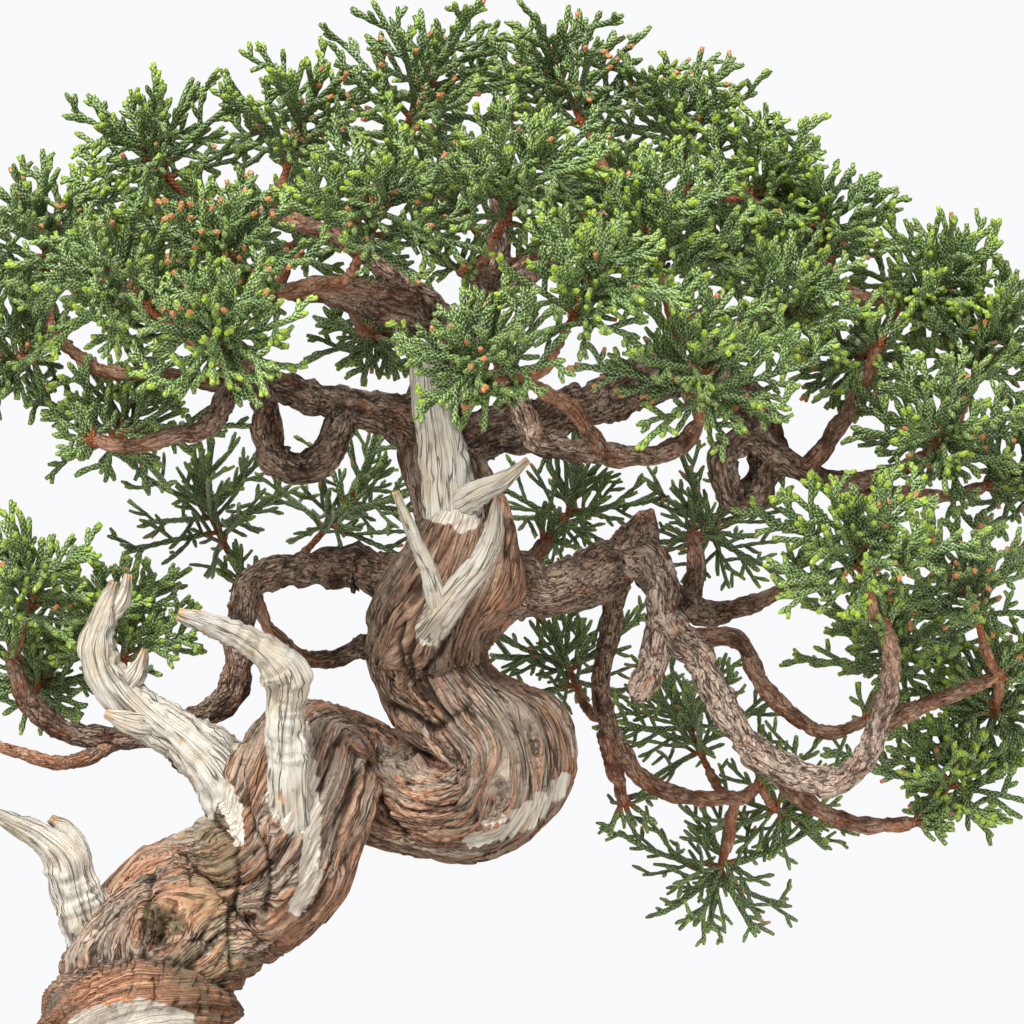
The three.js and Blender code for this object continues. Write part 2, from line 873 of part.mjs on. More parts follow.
function makeDeadwood(name, { flat, prongs }) {
  const lines = prongs.map((rows) => stationsOf(placed(rows), DEADWOOD_STEP));
  lines.forEach((s) => take(s, name));
  const whole = join(lines.map((s) => limb(s, DEADWOOD_SIDES, { flat })));
  return largestBody(whole.subtract(trunkRoom));
}

// Foliage

// A closed three-sided skin that grows face by face, so that its stems are one body.
class Sprig {
  points = [];
  faces = [];

  // Starts as a flat triangle, with a face on each side of it. The second one is the growing end.
  constructor({ at, along, across }, radius) {
    for (let j = 0; j < 3; j++) {
      const spoke = across.clone().applyAxisAngle(along, (j * 2 * Math.PI) / 3);
      this.points.push(at.clone().addScaledVector(spoke, radius));
    }
    this.faces.push([0, 2, 1], [0, 1, 2]);
  }

  // Draws a face out to a station, where it stays as the end, and returns the lower halves of the
  // three sides that this adds.
  extend(face, { at, along, r }) {
    const base = [...face];
    const spoke = this.points[base[0]].clone().sub(this.middleOf(base));
    spoke.addScaledVector(along, -spoke.dot(along)).setLength(r);
    const ring = base.map(() => {
      const index = this.points.push(at.clone().add(spoke)) - 1;
      spoke.applyAxisAngle(along, (2 * Math.PI) / 3);
      return index;
    });
    const sides = base.map((corner, j) => {
      const next = (j + 1) % 3;
      const lower = [corner, base[next], ring[next]];
      this.faces.push(lower, [corner, ring[next], ring[j]]);
      return lower;
    });
    face.splice(0, 3, ...ring);
    return sides;
  }

  middleOf(face) {
    const sum = new THREE.Vector3();
    face.forEach((corner) => sum.add(this.points[corner]));
    return sum.divideScalar(3);
  }

  outwardOf(face) {
    const [a, b, c] = face.map((corner) => this.points[corner]);
    return b.clone().sub(a).cross(c.clone().sub(a)).normalize();
  }

  geometry() {
    const positions = this.points.flatMap((p) => [p.x, p.y, p.z]);
    return new THREE.BufferGeometry()
      .setAttribute("position", new THREE.Float32BufferAttribute(positions, 3))
      .setIndex(this.faces.flat());
  }
}

// Stations at these shares of an arc between two places. It bulges by this vector at its middle.
function arcStations(from, to, bulge, shares, [thick, thin]) {
  return shares.map((share) => ({
    at: from.clone().lerp(to, share).addScaledVector(bulge, 4 * share * (1 - share)),
    along: to.clone().sub(from).addScaledVector(bulge, 4 - 8 * share).normalize(),
    r: thick + (thin - thick) * share,
  }));
}

// Where a ray from the middle of a branchlet's room meets the room's rim.
function rimOf([x, z, depth, halfWidth, halfHeight, halfDepth], out) {
  const reach = 1 / Math.hypot(out.x / halfWidth, out.y / halfDepth, out.z / halfHeight);
  return place(x, z, depth).addScaledVector(out, reach);
}

// Whether a new limb stays clear of every other piece and, past its own foot, of its own node.
function fits(stations, node) {
  const [foot, next] = stations;
  const share = Math.min(1, SPRAY.footLength / next.at.distanceTo(foot.at));
  const outer = [{ ...next, at: foot.at.clone().lerp(next.at, share) }, ...stations.slice(1)];
  const own = taken.filter((t) => t.node === node);
  const free = outer.slice(1).every((station, i) =>
    own.every((t) => segmentDistance(outer[i].at, station.at, t.a, t.b) > station.r + t.r),
  );
  return free && isClear(stations, node);
}

// Grows a limb from a face of the sprig, if one of the turned directions has room for it.
function growLimb(sprig, face, node, path) {
  for (const turn of [0, 0.3, -0.3, 0.6, -0.6]) {
    const stations = path(sprig.middleOf(face), sprig.outwardOf(face), turn);
    if (!fits(stations, node)) continue;
    take(stations, node);
    return stations.slice(1).map((station) => sprig.extend(face, station));
  }
  return null;
}

// A short shoot that leans towards the tip of the stem it grows from.
function shootPath(stemAlong, seed, j) {
  const [shortest, longest] = SPRAY.shootLength;
  const length = shortest + (longest - shortest) * chance(seed, j);
  return (from, outward, turn) => {
    const across = outward.clone().addScaledVector(stemAlong, -outward.dot(stemAlong)).normalize();
    across.applyAxisAngle(stemAlong, turn + 0.5 * (chance(seed + 3, j) - 0.5));
    const out = stemAlong
      .clone()
      .multiplyScalar(Math.cos(SPRAY.shootLean))
      .addScaledVector(across, Math.sin(SPRAY.shootLean));
    const to = from.clone().addScaledVector(out, length);
    const radii = [SPRAY.shootRadius, SPRAY.shootRadius];
    return arcStations(from, to, new THREE.Vector3(), [0, 1], radii);
  };
}

// A side stem that reaches the rim of the branchlet's room.
function sidePath(axis, room, opening, seed) {
  return (from, outward, turn) => {
    const across = outward.clone().addScaledVector(axis, -outward.dot(axis)).normalize();
    across.applyAxisAngle(axis, turn + 0.7 * (chance(seed, 5) - 0.5));
    const out = axis
      .clone()
      .multiplyScalar(Math.cos(opening))
      .addScaledVector(across, Math.sin(opening));
    const to = rimOf(room, out);
    const length = to.distanceTo(from);
    const bulge = across.clone().add(axis).multiplyScalar(0.06 * length);
    const knot = 0.5 + 0.15 * chance(seed, 6);
    const shares = [0, knot, knot + SPRAY.knotLength / length, 1];
    return arcStations(from, to, bulge, shares, SPRAY.sideRadius);
  };
}

// The main stem goes on from the end of its twig, through the room and out to its rim.
function mainPath(twigEnd, room) {
  const from = twigEnd.at.clone().addScaledVector(twigEnd.along, GAP);
  const middle = place(room[0], room[1], room[2]);
  const axis = middle.clone().sub(from).addScaledVector(twigEnd.along, 3).normalize();
  const to = rimOf(room, axis);
  const length = to.distanceTo(from);
  const bulge = twigEnd.along.clone().sub(axis).multiplyScalar(0.2 * length);
  const shares = [0];
  for (let k = 0; k < SPRAY.knots; k++) {
    const share = 0.14 + (0.72 * k) / (SPRAY.knots - 1);
    shares.push(share, share + SPRAY.knotLength / length);
  }
  return arcStations(from, to, bulge, [...shares, 1], SPRAY.stemRadius);
}

const mains = Object.fromEntries(
  Object.entries(FOLIAGE).map(([name, room]) => [name, mainPath(twigs[name].at(-1), room)]),
);

function makeFoliage(name, room, order) {
  const node = `foliage_${name}`;
  const main = mains[name];
  const sprig = new Sprig({ ...twigs[name].at(-1), at: main[0].at }, main[0].r);
  const tip = sprig.faces[1];
  const spans = main.slice(1).map((station) => sprig.extend(tip, station));
  const axis = main.at(-1).at.clone().sub(main[0].at).normalize();
  const [first, last] = SPRAY.sideOpening;
  const grown = [];
  for (let k = 0; k < SPRAY.knots; k++) {
    const seed = order * 31 + k;
    const sides = spans[2 * k + 1];
    const opening = first + ((last - first) * k) / (SPRAY.knots - 1);
    const stem = growLimb(sprig, sides[k % 3], node, sidePath(axis, room, opening, seed));
    if (stem) grown.push({ sides: stem[1], end: sides[k % 3], seed });
    const along = main[2 * k + 1].along;
    growLimb(sprig, sides[(k + 1) % 3], node, shootPath(along, seed, 1));
  }
  for (const { sides, end, seed } of grown) {
    const along = sprig.outwardOf(end);
    for (const j of [1, 2]) growLimb(sprig, sides[j], node, shootPath(along, seed + 17, j));
  }
  return sprig.geometry();
}

// The whole part

const part = new THREE.Group();
const wood = makeWood();
const soilHoles = join([trunkRoom, ...roots.map((s) => roomFor(s, BRANCH_SIDES))]);
part.add(meshOf("pot", geometryOf(makePot()), COLOURS.clay));
part.add(meshOf("drain_screen_left", geometryOf(makeScreen(-1)), COLOURS.screen));
part.add(meshOf("drain_screen_right", geometryOf(makeScreen(1)), COLOURS.screen));
part.add(meshOf("soil", geometryOf(makeSoil(soilHoles)), COLOURS.soil));
part.add(meshOf("trunk_and_branches", geometryOf(wood), COLOURS.bark));
for (const [name, jin] of Object.entries(DEADWOOD)) {
  part.add(meshOf(name, geometryOf(makeDeadwood(name, jin)), COLOURS.deadwood));
}
for (const [name, main] of Object.entries(mains)) take(main, `foliage_${name}`);
Object.entries(FOLIAGE).forEach(([name, room], order) => {
  part.add(meshOf(`foliage_${name}`, makeFoliage(name, room, order), COLOURS.foliage));
});

const bounds = new THREE.Box3().setFromObject(part);
const middle = bounds.getCenter(new THREE.Vector3());
part.position.set(-middle.x, -middle.y, -bounds.min.z);

export default part;
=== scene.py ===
"""A potted juniper bonsai: an old twisted trunk with bleached deadwood and scale-leaf foliage.

The tree's lines are the part's own, restated here in millimetres as they show from the front,
and every piece below is grown along them: fibrous bark on the trunk, flaking bark on the
branches, weathered grain on the jins, and sprays of scaly shoots in each branchlet's room.
"""

import logging
import math
from dataclasses import dataclass, field
from enum import Enum
from typing import Callable, ClassVar, Dict, List, Optional, Sequence, Tuple, Union

import bpy
import numpy as np
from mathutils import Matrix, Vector


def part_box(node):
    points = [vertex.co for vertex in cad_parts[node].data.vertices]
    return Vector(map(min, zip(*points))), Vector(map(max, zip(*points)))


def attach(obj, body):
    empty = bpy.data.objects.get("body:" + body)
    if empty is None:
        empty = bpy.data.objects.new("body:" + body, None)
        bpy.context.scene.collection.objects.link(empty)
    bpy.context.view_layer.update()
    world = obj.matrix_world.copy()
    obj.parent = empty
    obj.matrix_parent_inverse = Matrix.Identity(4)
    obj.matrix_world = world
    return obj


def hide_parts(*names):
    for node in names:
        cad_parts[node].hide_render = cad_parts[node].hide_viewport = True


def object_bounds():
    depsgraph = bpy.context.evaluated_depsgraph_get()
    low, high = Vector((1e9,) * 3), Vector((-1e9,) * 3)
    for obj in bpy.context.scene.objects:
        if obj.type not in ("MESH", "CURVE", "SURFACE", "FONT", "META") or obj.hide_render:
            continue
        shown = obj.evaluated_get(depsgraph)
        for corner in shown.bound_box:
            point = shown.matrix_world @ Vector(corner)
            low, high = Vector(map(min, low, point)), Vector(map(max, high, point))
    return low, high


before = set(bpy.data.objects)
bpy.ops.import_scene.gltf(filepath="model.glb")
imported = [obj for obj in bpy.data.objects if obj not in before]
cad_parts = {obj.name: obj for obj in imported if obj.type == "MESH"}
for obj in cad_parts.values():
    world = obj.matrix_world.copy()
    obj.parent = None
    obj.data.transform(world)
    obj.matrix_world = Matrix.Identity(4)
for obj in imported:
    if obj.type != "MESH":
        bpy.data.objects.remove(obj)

CAD_BOX = [list(corner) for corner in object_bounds()]
MM = 0.001
LOG = logging.getLogger("juniper")
FAR = 1e9  # more than any distance here
TURN = 2 * math.pi
SOIL_TOP = 50.5  # where the soil meets the trunk, in millimetres
WAIST_ROW = 23  # of the trunk's rows, from which its line goes on as a branch

Row = Tuple[float, ...]
Colour = Tuple[float, float, float]
Array, Socket = np.ndarray, bpy.types.NodeSocket
Piece, Material = bpy.types.Object, bpy.types.Material

# The tree's lines

# The trunk's centreline: x and z as they show from the front, depth away from the viewer, radius.
TRUNK: Tuple[Row, ...] = (
    (34, -64, 6, 19), (33, -48, 5, 20), (29, -31, 0, 19.5), (25.5, -13, -7, 18.5),
    (28, 3, -11, 17.6), (34, 17, -6, 16.8), (44, 26.5, -1, 16), (54, 35.5, -3, 15.8),
    (59, 46, -4, 14.8), (61.5, 52, 3, 12.8), (67, 51.5, 11, 11.8), (74, 48, 13, 11.7),
    (82, 45, 10, 12), (93, 44.2, 3, 12.6), (101.5, 47.5, -4, 12.4), (102.5, 55.5, -6, 12),
    (96.5, 62, -2, 12.4), (91, 68, 5, 13.6), (88.6, 76, 5, 15), (89.2, 84, 0, 15.6),
    (91.6, 92, -1, 13), (92.6, 99, 3, 9.8), (90, 107, 6, 8.6), (87, 116, 8, 8),
    (87, 124, 8, 6.6), (92, 133, 7, 4.4), (97, 144, 5, 3.4), (100, 158, 3, 2.6),
    (101, 171, 2, 1.9),
)

# The surface roots: direction in degrees seen from above, reach and radius.
ROOTS: Tuple[Row, ...] = (
    (12, 38, 6.5), (80, 31, 5.5), (146, 32, 6), (216, 31, 6), (296, 34, 6),
)

# The living branches, each from inside what it grows from.
BRANCHES: Dict[str, Tuple[Row, ...]] = {
    "left_low": (
        (82, 88, 6, 6.5), (72, 91, 12, 4.6), (63, 91, 12, 3.4), (54, 90, 10, 3), (49, 86, 9, 2.9),
        (48, 77, 9, 2.9), (46.5, 67, 9, 3), (41, 61.5, 10, 2.8), (32, 58, 12, 2.6),
        (22, 57, 13, 2.4), (12, 59, 13, 2.2), (5, 65, 12, 2), (2.5, 74, 10, 1.7),
    ),
    "left_low_fork": ((24, 57, 13, 2), (14, 52.5, 12, 1.6), (4, 54, 11, 1.3), (-5, 58, 10, 1)),
    "left_back": (
        (82, 84, 8, 5), (74, 76, 22, 2.4), (62, 73, 28, 1.7), (55, 78, 30, 1.5), (50, 88, 32, 1.3),
    ),
    "left_high": (
        (87, 118, 7, 6), (77, 122, 2, 4.4), (67, 124, 0, 3.5), (57, 127, -2, 3),
        (50, 129.5, -3, 2.6), (46, 127, -4, 2.2), (42, 120, -6, 2.1), (34, 117, -7, 1.8),
        (24, 115.5, -6, 1.5), (18, 117, -4, 1.2),
    ),
    "left_hook": (
        (69, 122.5, 0, 3.2), (65, 114, -4, 3.2), (59, 111, -6, 3.3), (54.5, 114, -7, 3.1),
        (53, 123, -8, 2.6), (50, 131, -14, 2.2), (46, 136, -24, 1.7),
    ),
    "left_high_fork": (
        (50, 129, -3, 2.2), (43, 128, 0, 1.8), (33, 130, 2, 1.6), (20, 131, 4, 1.4),
        (11, 137, 5, 1.2),
    ),
    "left_rise": (
        (93, 134, 7, 3.6), (86, 144, 5, 2.8), (76, 152, 3, 2.2), (66, 158, 2, 1.8),
        (52, 162, 2, 1.5), (40, 164, 2, 1.2),
    ),
    "left_front": ((88, 141, 5, 2.6), (78, 146, -10, 2), (66, 148, -20, 1.7), (54, 146, -28, 1.4)),
    "left_rear": ((92, 137, 7, 3), (78, 142, 20, 2.2), (62, 146, 28, 1.8), (46, 148, 30, 1.4)),
    "crown_front": ((97, 145, 5, 2.6), (96, 149, -10, 2.1), (92, 151, -22, 1.7)),
    "crown_rear": ((97, 143, 5, 2.6), (100, 148, 20, 2), (104, 152, 32, 1.6)),
    "right_rise": (
        (97, 146, 5, 3), (108, 152, 3, 2.6), (118, 158, 2, 2.1), (128, 164, 1, 1.7),
        (138, 166, 1, 1.3),
    ),
    "right_high": (
        (88, 114, 8, 6.4), (97, 117.5, 10, 5.4), (107, 120.5, 11, 5), (118, 124, 11, 4.8),
        (128, 127.5, 9, 4.4), (137, 130, 7, 3.8), (146, 128, 5, 3.5), (152, 121, 3, 3.5),
        (153, 112, 2, 3.6), (150, 104.5, 0, 3.3), (145.5, 107, -3, 3), (145, 114, -4, 2.8),
        (149.5, 117, -4, 2.6), (156, 113, -4, 2.5), (161, 110, -3, 2.4), (168, 108.5, 0, 2.1),
        (177, 110, 2, 1.7), (186, 114, 3, 1.3),
    ),
    "right_high_mid": (
        (137, 130, 7, 3), (146, 137, 4, 2.3), (156, 143, 2, 1.9), (168, 146, 1, 1.6),
        (180, 144, 2, 1.2),
    ),
    "right_high_rear": (
        (120, 125, 11, 3.4), (130, 133, 22, 2.2), (140, 141, 28, 1.7), (146, 147, 30, 1.3),
    ),
    "right_high_twig": (
        (160, 110, -3, 2), (166, 117, -5, 1.8), (172, 127, -5, 1.5), (176, 136, -4, 1.2),
    ),
    "right_high_low": (
        (162, 109, -3, 2), (170, 107, 4, 1.8), (180, 106, 8, 1.6), (190, 105.5, 10, 1.4),
        (198, 108, 10, 1.2),
    ),
    "front_cross": (
        (98, 140, 5, 2.6), (100, 135, -8, 2.3), (104, 124, -14, 2.3), (108, 115.8, -16, 2.3),
        (116, 114.8, -18, 2.2), (126, 113.5, -21, 2.1), (135, 115, -25, 1.9),
        (140.5, 121, -29, 1.5),
    ),
    "front_cross_fork": (
        (120, 114.5, -19, 1.9), (116, 121, -24, 1.6), (110, 126, -32, 1.4), (104, 129, -38, 1.2),
    ),
    "right_low": (
        (92, 92, 0, 8), (101, 88, 1, 6.4), (109, 86.6, 2, 5.6), (116, 88, 3, 5.5),
        (123, 92, 3, 5.6), (127.5, 97, 2, 4.2), (130.5, 103, 1, 1.2),
    ),
    "right_low_drop": (
        (125, 94, 2, 3.6), (130.5, 92, -4, 3.3), (132.5, 86, -7, 3.2), (132, 78, -7, 3),
        (130, 71, -7, 2.9), (127, 64.5, -6, 2.7),
    ),
    "right_low_arm": (
        (132.5, 82, -7, 2.8), (136, 77.5, -8, 3), (141, 71, -9, 3), (146, 61, -9, 3),
        (152, 54, -9, 2.9), (160, 49.5, -9, 2.9), (168, 49, -9, 2.7), (172.5, 53.5, -11, 2.5),
        (176, 61, -14, 2.2), (178.5, 70, -19, 1.9), (177, 80, -25, 1.5),
    ),
    "right_low_lateral": (
        (175, 59, -13, 2), (181, 62.5, -11, 1.7), (191, 66, -7, 1.5), (200, 70, -3, 1.2),
    ),
    "right_low_under": (
        (152, 54, -9, 2.2), (157, 48, -4, 1.8), (164, 42.5, -1, 1.7), (175, 39.5, 0, 1.6),
        (184, 40.5, 1, 1.3),
    ),
    "right_low_bow": (
        (132, 79, -6, 2), (139, 77.5, -2, 1.8), (147, 77, 1, 1.9), (151, 71, 2, 1.8),
        (157, 63, 3, 1.7), (166, 58.5, 5, 1.5), (174, 61, 8, 1.2),
    ),
    "right_low_rear": (
        (127, 93, 3, 3.4), (134, 86, 10, 3), (141, 82.5, 16, 2.5), (150, 84, 20, 1.9),
        (159, 88, 20, 1.4),
    ),
    "right_low_rise": ((138, 84, 14, 2.2), (139, 92, 20, 1.8), (138.5, 98, 26, 1.3)),
    "right_low_ring": (
        (123, 92, 3, 4), (122.5, 83, 11, 2.3), (120.5, 73, 15, 2.1), (121, 62, 18, 2),
        (126, 52, 22, 1.9), (135, 46, 27, 1.8), (147, 45, 33, 1.5), (152, 48, 36, 1.2),
    ),
    "right_low_ring_fork": ((121, 58, 19, 1.7), (123, 50, 25, 1.5), (125, 44, 32, 1.2)),
    "rear_mid": ((91, 92, 2, 5), (100, 93, 16, 2.4), (106, 93, 27, 1.7), (109, 97, 33, 1.3)),
}

# The bleached deadwood: each jin's prongs, and the share of its width that is left in depth.
DEADWOOD: Dict[str, Tuple[float, Tuple[Tuple[Row, ...], ...]]] = {
    "jin_low_left": (0.75, (
        ((21, 15, -8, 6), (15.5, 26, -10, 5), (13, 33, -12, 4.2), (8, 37.5, -13, 3),
         (2, 40.5, -14, 2), (-4, 43.5, -15, 0.9)),
        ((14.5, 28, -10, 4.2), (14.5, 35, -11, 3), (12.5, 39, -12, 2), (10, 41, -13, 1.1)),
    )),
    "jin_left_long": (0.7, (
        ((50, 42, -3, 8), (44, 51, -5, 6.8), (37, 57, -6, 5.4), (29, 62, -7, 4.8),
         (22.5, 68, -8, 4.2), (19.5, 75, -9, 3.5), (21, 82, -10, 2.8), (23, 88.5, -11, 1.1)),
        ((21, 80, -10, 2.4), (24.5, 85, -10, 1.7), (25.6, 90, -10, 0.9)),
        ((24.5, 66, -8, 3), (27.5, 70.5, -9, 1.9), (29, 75, -9, 0.8)),
        ((31, 59.5, -8, 3.6), (25, 60.5, -10, 2.2), (21, 62, -11, 1.1)),
    )),
    "jin_left_bent": (0.85, (
        ((59, 35, -11, 5), (58, 45, -17, 4.4), (57.5, 55, -20, 4.1), (57.2, 64, -22, 4),
         (57, 70, -24, 4.4), (53.5, 74, -26, 3.6), (47, 78, -28, 2.8), (40, 80.5, -30, 2.2),
         (35.5, 82, -31, 1.3)),
    )),
    "jin_crown": (0.42, (
        ((91.5, 90, -5, 7.4), (91, 98, -6, 6.2), (89.8, 107, -5, 5.6), (88, 117, -5, 4.7),
         (86, 125, -6, 4), (85, 132, -8, 2.6), (87, 138, -10, 0.9)),
        ((90, 103, -6, 3.4), (96, 106.5, -10, 2.6), (101, 109, -13, 1.8), (105.5, 113, -16, 0.8)),
    )),
    "jin_centre_fork": (0.8, (
        ((85, 77, -8, 3.4), (88, 82, -17, 3.1), (92, 87, -21, 2.9), (96, 92, -24, 2.6),
         (98.5, 98, -26, 2.0), (99.5, 105.5, -28, 0.9)),
        ((88, 82, -18, 2.6), (86, 90, -22, 1.7), (82.5, 98, -26, 1.4), (79, 106.5, -30, 0.8)),
    )),
}

# The foliage: the middle of each branchlet's room (x, z, depth), half its width, height, depth.
FOLIAGE: Dict[str, Row] = {
    "top_left_end": (9, 157, 4, 15, 13, 17), "top_left": (33, 174, 3, 17, 13, 18),
    "top_left_mid": (60, 180, 5, 17, 13, 18), "top_centre": (86, 189, 3, 17, 14, 18),
    "top_right_mid": (112, 190, 5, 17, 13, 18), "top_right": (136, 179, 3, 17, 13, 18),
    "top_right_end": (151, 169, 0, 13, 12, 16), "front_left_end": (24, 149, -26, 16, 12, 16),
    "front_left": (48, 154, -32, 18, 12, 16), "front_left_mid": (76, 163, -32, 18, 13, 16),
    "front_right_mid": (104, 168, -32, 18, 13, 16), "front_right": (130, 159, -30, 17, 13, 16),
    "near_left": (44, 138, -50, 17, 11, 14), "near_centre": (97, 133, -52, 15, 10, 14),
    "near_centre_high": (118, 148, -54, 16, 11, 13), "near_right": (140, 131, -42, 19, 14, 15),
    "left_mid": (7, 137, 5, 15, 12, 16), "left_under": (24, 121, 8, 17, 11, 16),
    "left_inner": (35, 142, -13, 14, 10, 13), "rear_left": (30, 155, 36, 17, 13, 16),
    "rear_left_mid": (60, 160, 40, 17, 13, 16), "rear_centre": (90, 167, 42, 17, 13, 16),
    "rear_right_mid": (120, 167, 42, 17, 13, 16), "rear_right": (147, 156, 36, 16, 13, 16),
    "rear_low_left": (75, 139, 42, 15, 11, 14), "right_shoulder": (165, 158, 0, 14, 12, 16),
    "right_outer": (184, 148, 3, 16, 12, 17), "right_end": (198, 137, 5, 13, 13, 16),
    "right_inner": (172, 135, 16, 15, 11, 15), "right_front": (158, 143, -20, 14, 11, 13),
    "right_low_front": (188, 119, -14, 16, 11, 15), "right_low_end": (203, 111, 12, 12, 11, 15),
    "skirt_front": (172, 95, -38, 19, 12, 15), "skirt_mid": (194, 88, -12, 16, 13, 16),
    "skirt_rear": (178, 76, 14, 15, 12, 15), "skirt_end": (199, 66, 8, 14, 13, 15),
    "skirt_low": (188, 49, 2, 17, 12, 16), "hanging_left": (113, 73, 42, 14, 11, 14),
    "hanging_mid": (138, 60, 46, 15, 12, 14), "hanging_low": (144, 32, 46, 17, 12, 13),
    "hanging_right": (156, 45, 46, 13, 12, 13), "behind_left": (43, 103, 36, 17, 12, 15),
    "behind_left_mid": (70, 105, 40, 15, 11, 15), "behind_right": (113, 104, 44, 14, 13, 14),
    "behind_right_end": (142, 101, 38, 13, 12, 14), "low_left_end": (6, 87, 6, 13, 11, 14),
    "low_left": (25, 80, 20, 15, 12, 14), "low_left_under": (8, 70, 22, 12, 9, 12),
}


def pot_middle() -> Array:
    """Gives the middle of the pot in millimetres, on the surface that it stands on."""
    low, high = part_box("pot")
    return np.array([low[0] + high[0], low[1] + high[1], 0.0]) / (2 * MM)


@dataclass(frozen=True)
class FrontView:
    """How the tree shows from the front, on the plane of its trunk, in millimetres."""

    distance: float = 700.0  # how far the viewer stands from that plane
    middle: float = 102.4  # where the viewer looks straight at it, along x and z
    corner: Tuple[float, float, float] = (-66.0, 0.0, 96.0)  # lower left, from the pot's middle
    width: float = 204.8

    def origin(self) -> Array:
        """Gives the view's lower left corner in the part's frame."""
        return pot_middle() + np.array(self.corner)

    def place(self, x: float, z: float, depth: float) -> Array:
        """Finds where a point that shows at x, z lies in the part.

        Args:
            x: how far right the point shows.
            z: how high the point shows.
            depth: how far it lies behind the plane of the trunk.

        Returns:
            The point in the part's frame, in millimetres.
        """
        grow = 1 + depth / self.distance
        return self.origin() + np.array(
            [self.middle + (x - self.middle) * grow, depth, self.middle + (z - self.middle) * grow]
        )

    def shown(self, points: Array) -> Tuple[Array, Array]:
        """Finds where points of the part show from the front.

        Args:
            points: places in the part's frame, in millimetres, with x, y, z last.

        Returns:
            How far right and how high each one shows.
        """
        local = points - self.origin()
        grow = 1 + local[..., 1] / self.distance
        return (
            self.middle + (local[..., 0] - self.middle) / grow,
            self.middle + (local[..., 2] - self.middle) / grow,
        )


FRONT = FrontView()


def trunk_foot(height: float) -> Array:
    """Gives the point at this height under the trunk's line, where it leaves the soil."""
    x, y, _ = FRONT.place(*TRUNK[1][:3])
    return np.array([x, y, height])


def circle(radius: float, count: int) -> Array:
    """Gives points round a circle on the ground, anticlockwise from above."""
    turn = np.linspace(0, TURN, count + 1)[:-1]
    return np.stack([np.cos(turn) * radius, np.sin(turn) * radius, np.zeros(count)], axis=-1)


def unit(vectors: Array) -> Array:
    """Gives vectors the length 1."""
    return vectors / np.maximum(np.linalg.norm(vectors, axis=-1, keepdims=True), 1e-9)


def soft_step(values: Array, low: float, high: float) -> Array:
    """Rises smoothly from 0 at low to 1 at high."""
    share = np.clip((values - low) / (high - low), 0, 1)
    return share * share * (3 - 2 * share)


def bump(distance: Array, width: float) -> Array:
    """Gives 1 where a distance is 0, which fades over a width on both sides."""
    return np.exp(-((distance / width) ** 2))


def distances(points: Array) -> Array:
    """Gives the distance of each point from the first one, along the line through them."""
    return np.concatenate([[0.0], np.cumsum(np.linalg.norm(np.diff(points, axis=0), axis=1))])


def chance(i: float, j: float) -> float:
    """Gives a repeatable number from 0 to 1 for a pair of counts."""
    value = math.sin(i * 12.9898 + j * 78.233) * 43758.5453
    return value - math.floor(value)


@dataclass
class Line:
    """A limb's line, in millimetres."""

    at: Array  # the places along it
    radius: Array
    along: Array  # the direction of growth
    across: Array  # across it, at first towards the viewer
    side: Array  # across both
    run: Array  # the distance from the limb's foot

    @classmethod
    def through(cls, points: Array, radii: Sequence[float], step: float) -> "Line":
        """Makes the smooth line through some points.

        Args:
            points: the points that the line goes through.
            radii: the limb's radius at each point.
            step: about how far apart its places are.

        Returns:
            The line.
        """
        ends = np.vstack([2 * points[0] - points[1], points, 2 * points[-1] - points[-2]])
        places, thick = [], []
        spans = len(points) - 1
        for i in range(spans):
            a, b, c, d = ends[i : i + 4]
            parts = max(1, round(float(np.linalg.norm(c - b)) / step))
            t = np.arange(parts + (i == spans - 1))[:, None] / parts
            start, end = 0.5 * (c - a), 0.5 * (d - b)
            places.append(
                b + start * t + (3 * (c - b) - 2 * start - end) * t**2
                + (2 * (b - c) + start + end) * t**3
            )
            thick.append(radii[i] + (radii[i + 1] - radii[i]) * t[:, 0])
        return cls.of(np.vstack(places), np.concatenate(thick))

    @classmethod
    def of(cls, at: Array, radius: Array) -> "Line":
        """Makes a line and works out its directions.

        Args:
            at: the places along it.
            radius: the limb's radius at each place.

        Returns:
            The line.
        """
        along = np.empty_like(at)
        along[1:-1] = at[2:] - at[:-2]
        along[0], along[-1] = at[1] - at[0], at[-1] - at[-2]
        along = unit(along)
        across = np.empty_like(at)
        current = np.array([0.0, -1.0, 0.0])
        for i, direction in enumerate(along):
            current = unit(current - direction * float(current @ direction))
            across[i] = current
        return cls(at, radius, along, across, np.cross(along, across), distances(at))

    @classmethod
    def of_rows(cls, rows: Sequence[Row], step: float) -> "Line":
        """Makes the smooth line through rows of x, z, depth and radius."""
        points = np.array([FRONT.place(x, z, depth) for x, z, depth, _ in rows])
        return cls.through(points, [row[3] for row in rows], step)


class Texture3D:
    """Smooth repeatable noise in space, about -0.7 to 0.7."""

    def __init__(self, seed: int) -> None:
        """Draws the noise's directions from a fixed seed."""
        source = np.random.default_rng(seed)
        self.order, self.slopes = source.permutation(256), unit(source.normal(size=(256, 3)))

    def at(self, places: Array) -> Array:
        """Reads the noise.

        Args:
            places: where to read it, with x, y, z last.

        Returns:
            The noise at each place.
        """
        cell = np.floor(places).astype(int)
        inside = places - cell
        fade = inside**3 * (inside * (inside * 6 - 15) + 10)
        total = np.zeros(places.shape[:-1])
        for corner in np.ndindex(2, 2, 2):
            index = (cell + np.array(corner)) & 255
            hashed = self.order[index[..., 0]]
            hashed = self.order[(hashed + index[..., 1]) & 255]
            hashed = self.order[(hashed + index[..., 2]) & 255]
            weight = np.prod(np.where(np.array(corner) == 1, fade, 1 - fade), axis=-1)
            total += weight * np.sum(self.slopes[hashed] * (inside - np.array(corner)), axis=-1)
        return total * 1.6


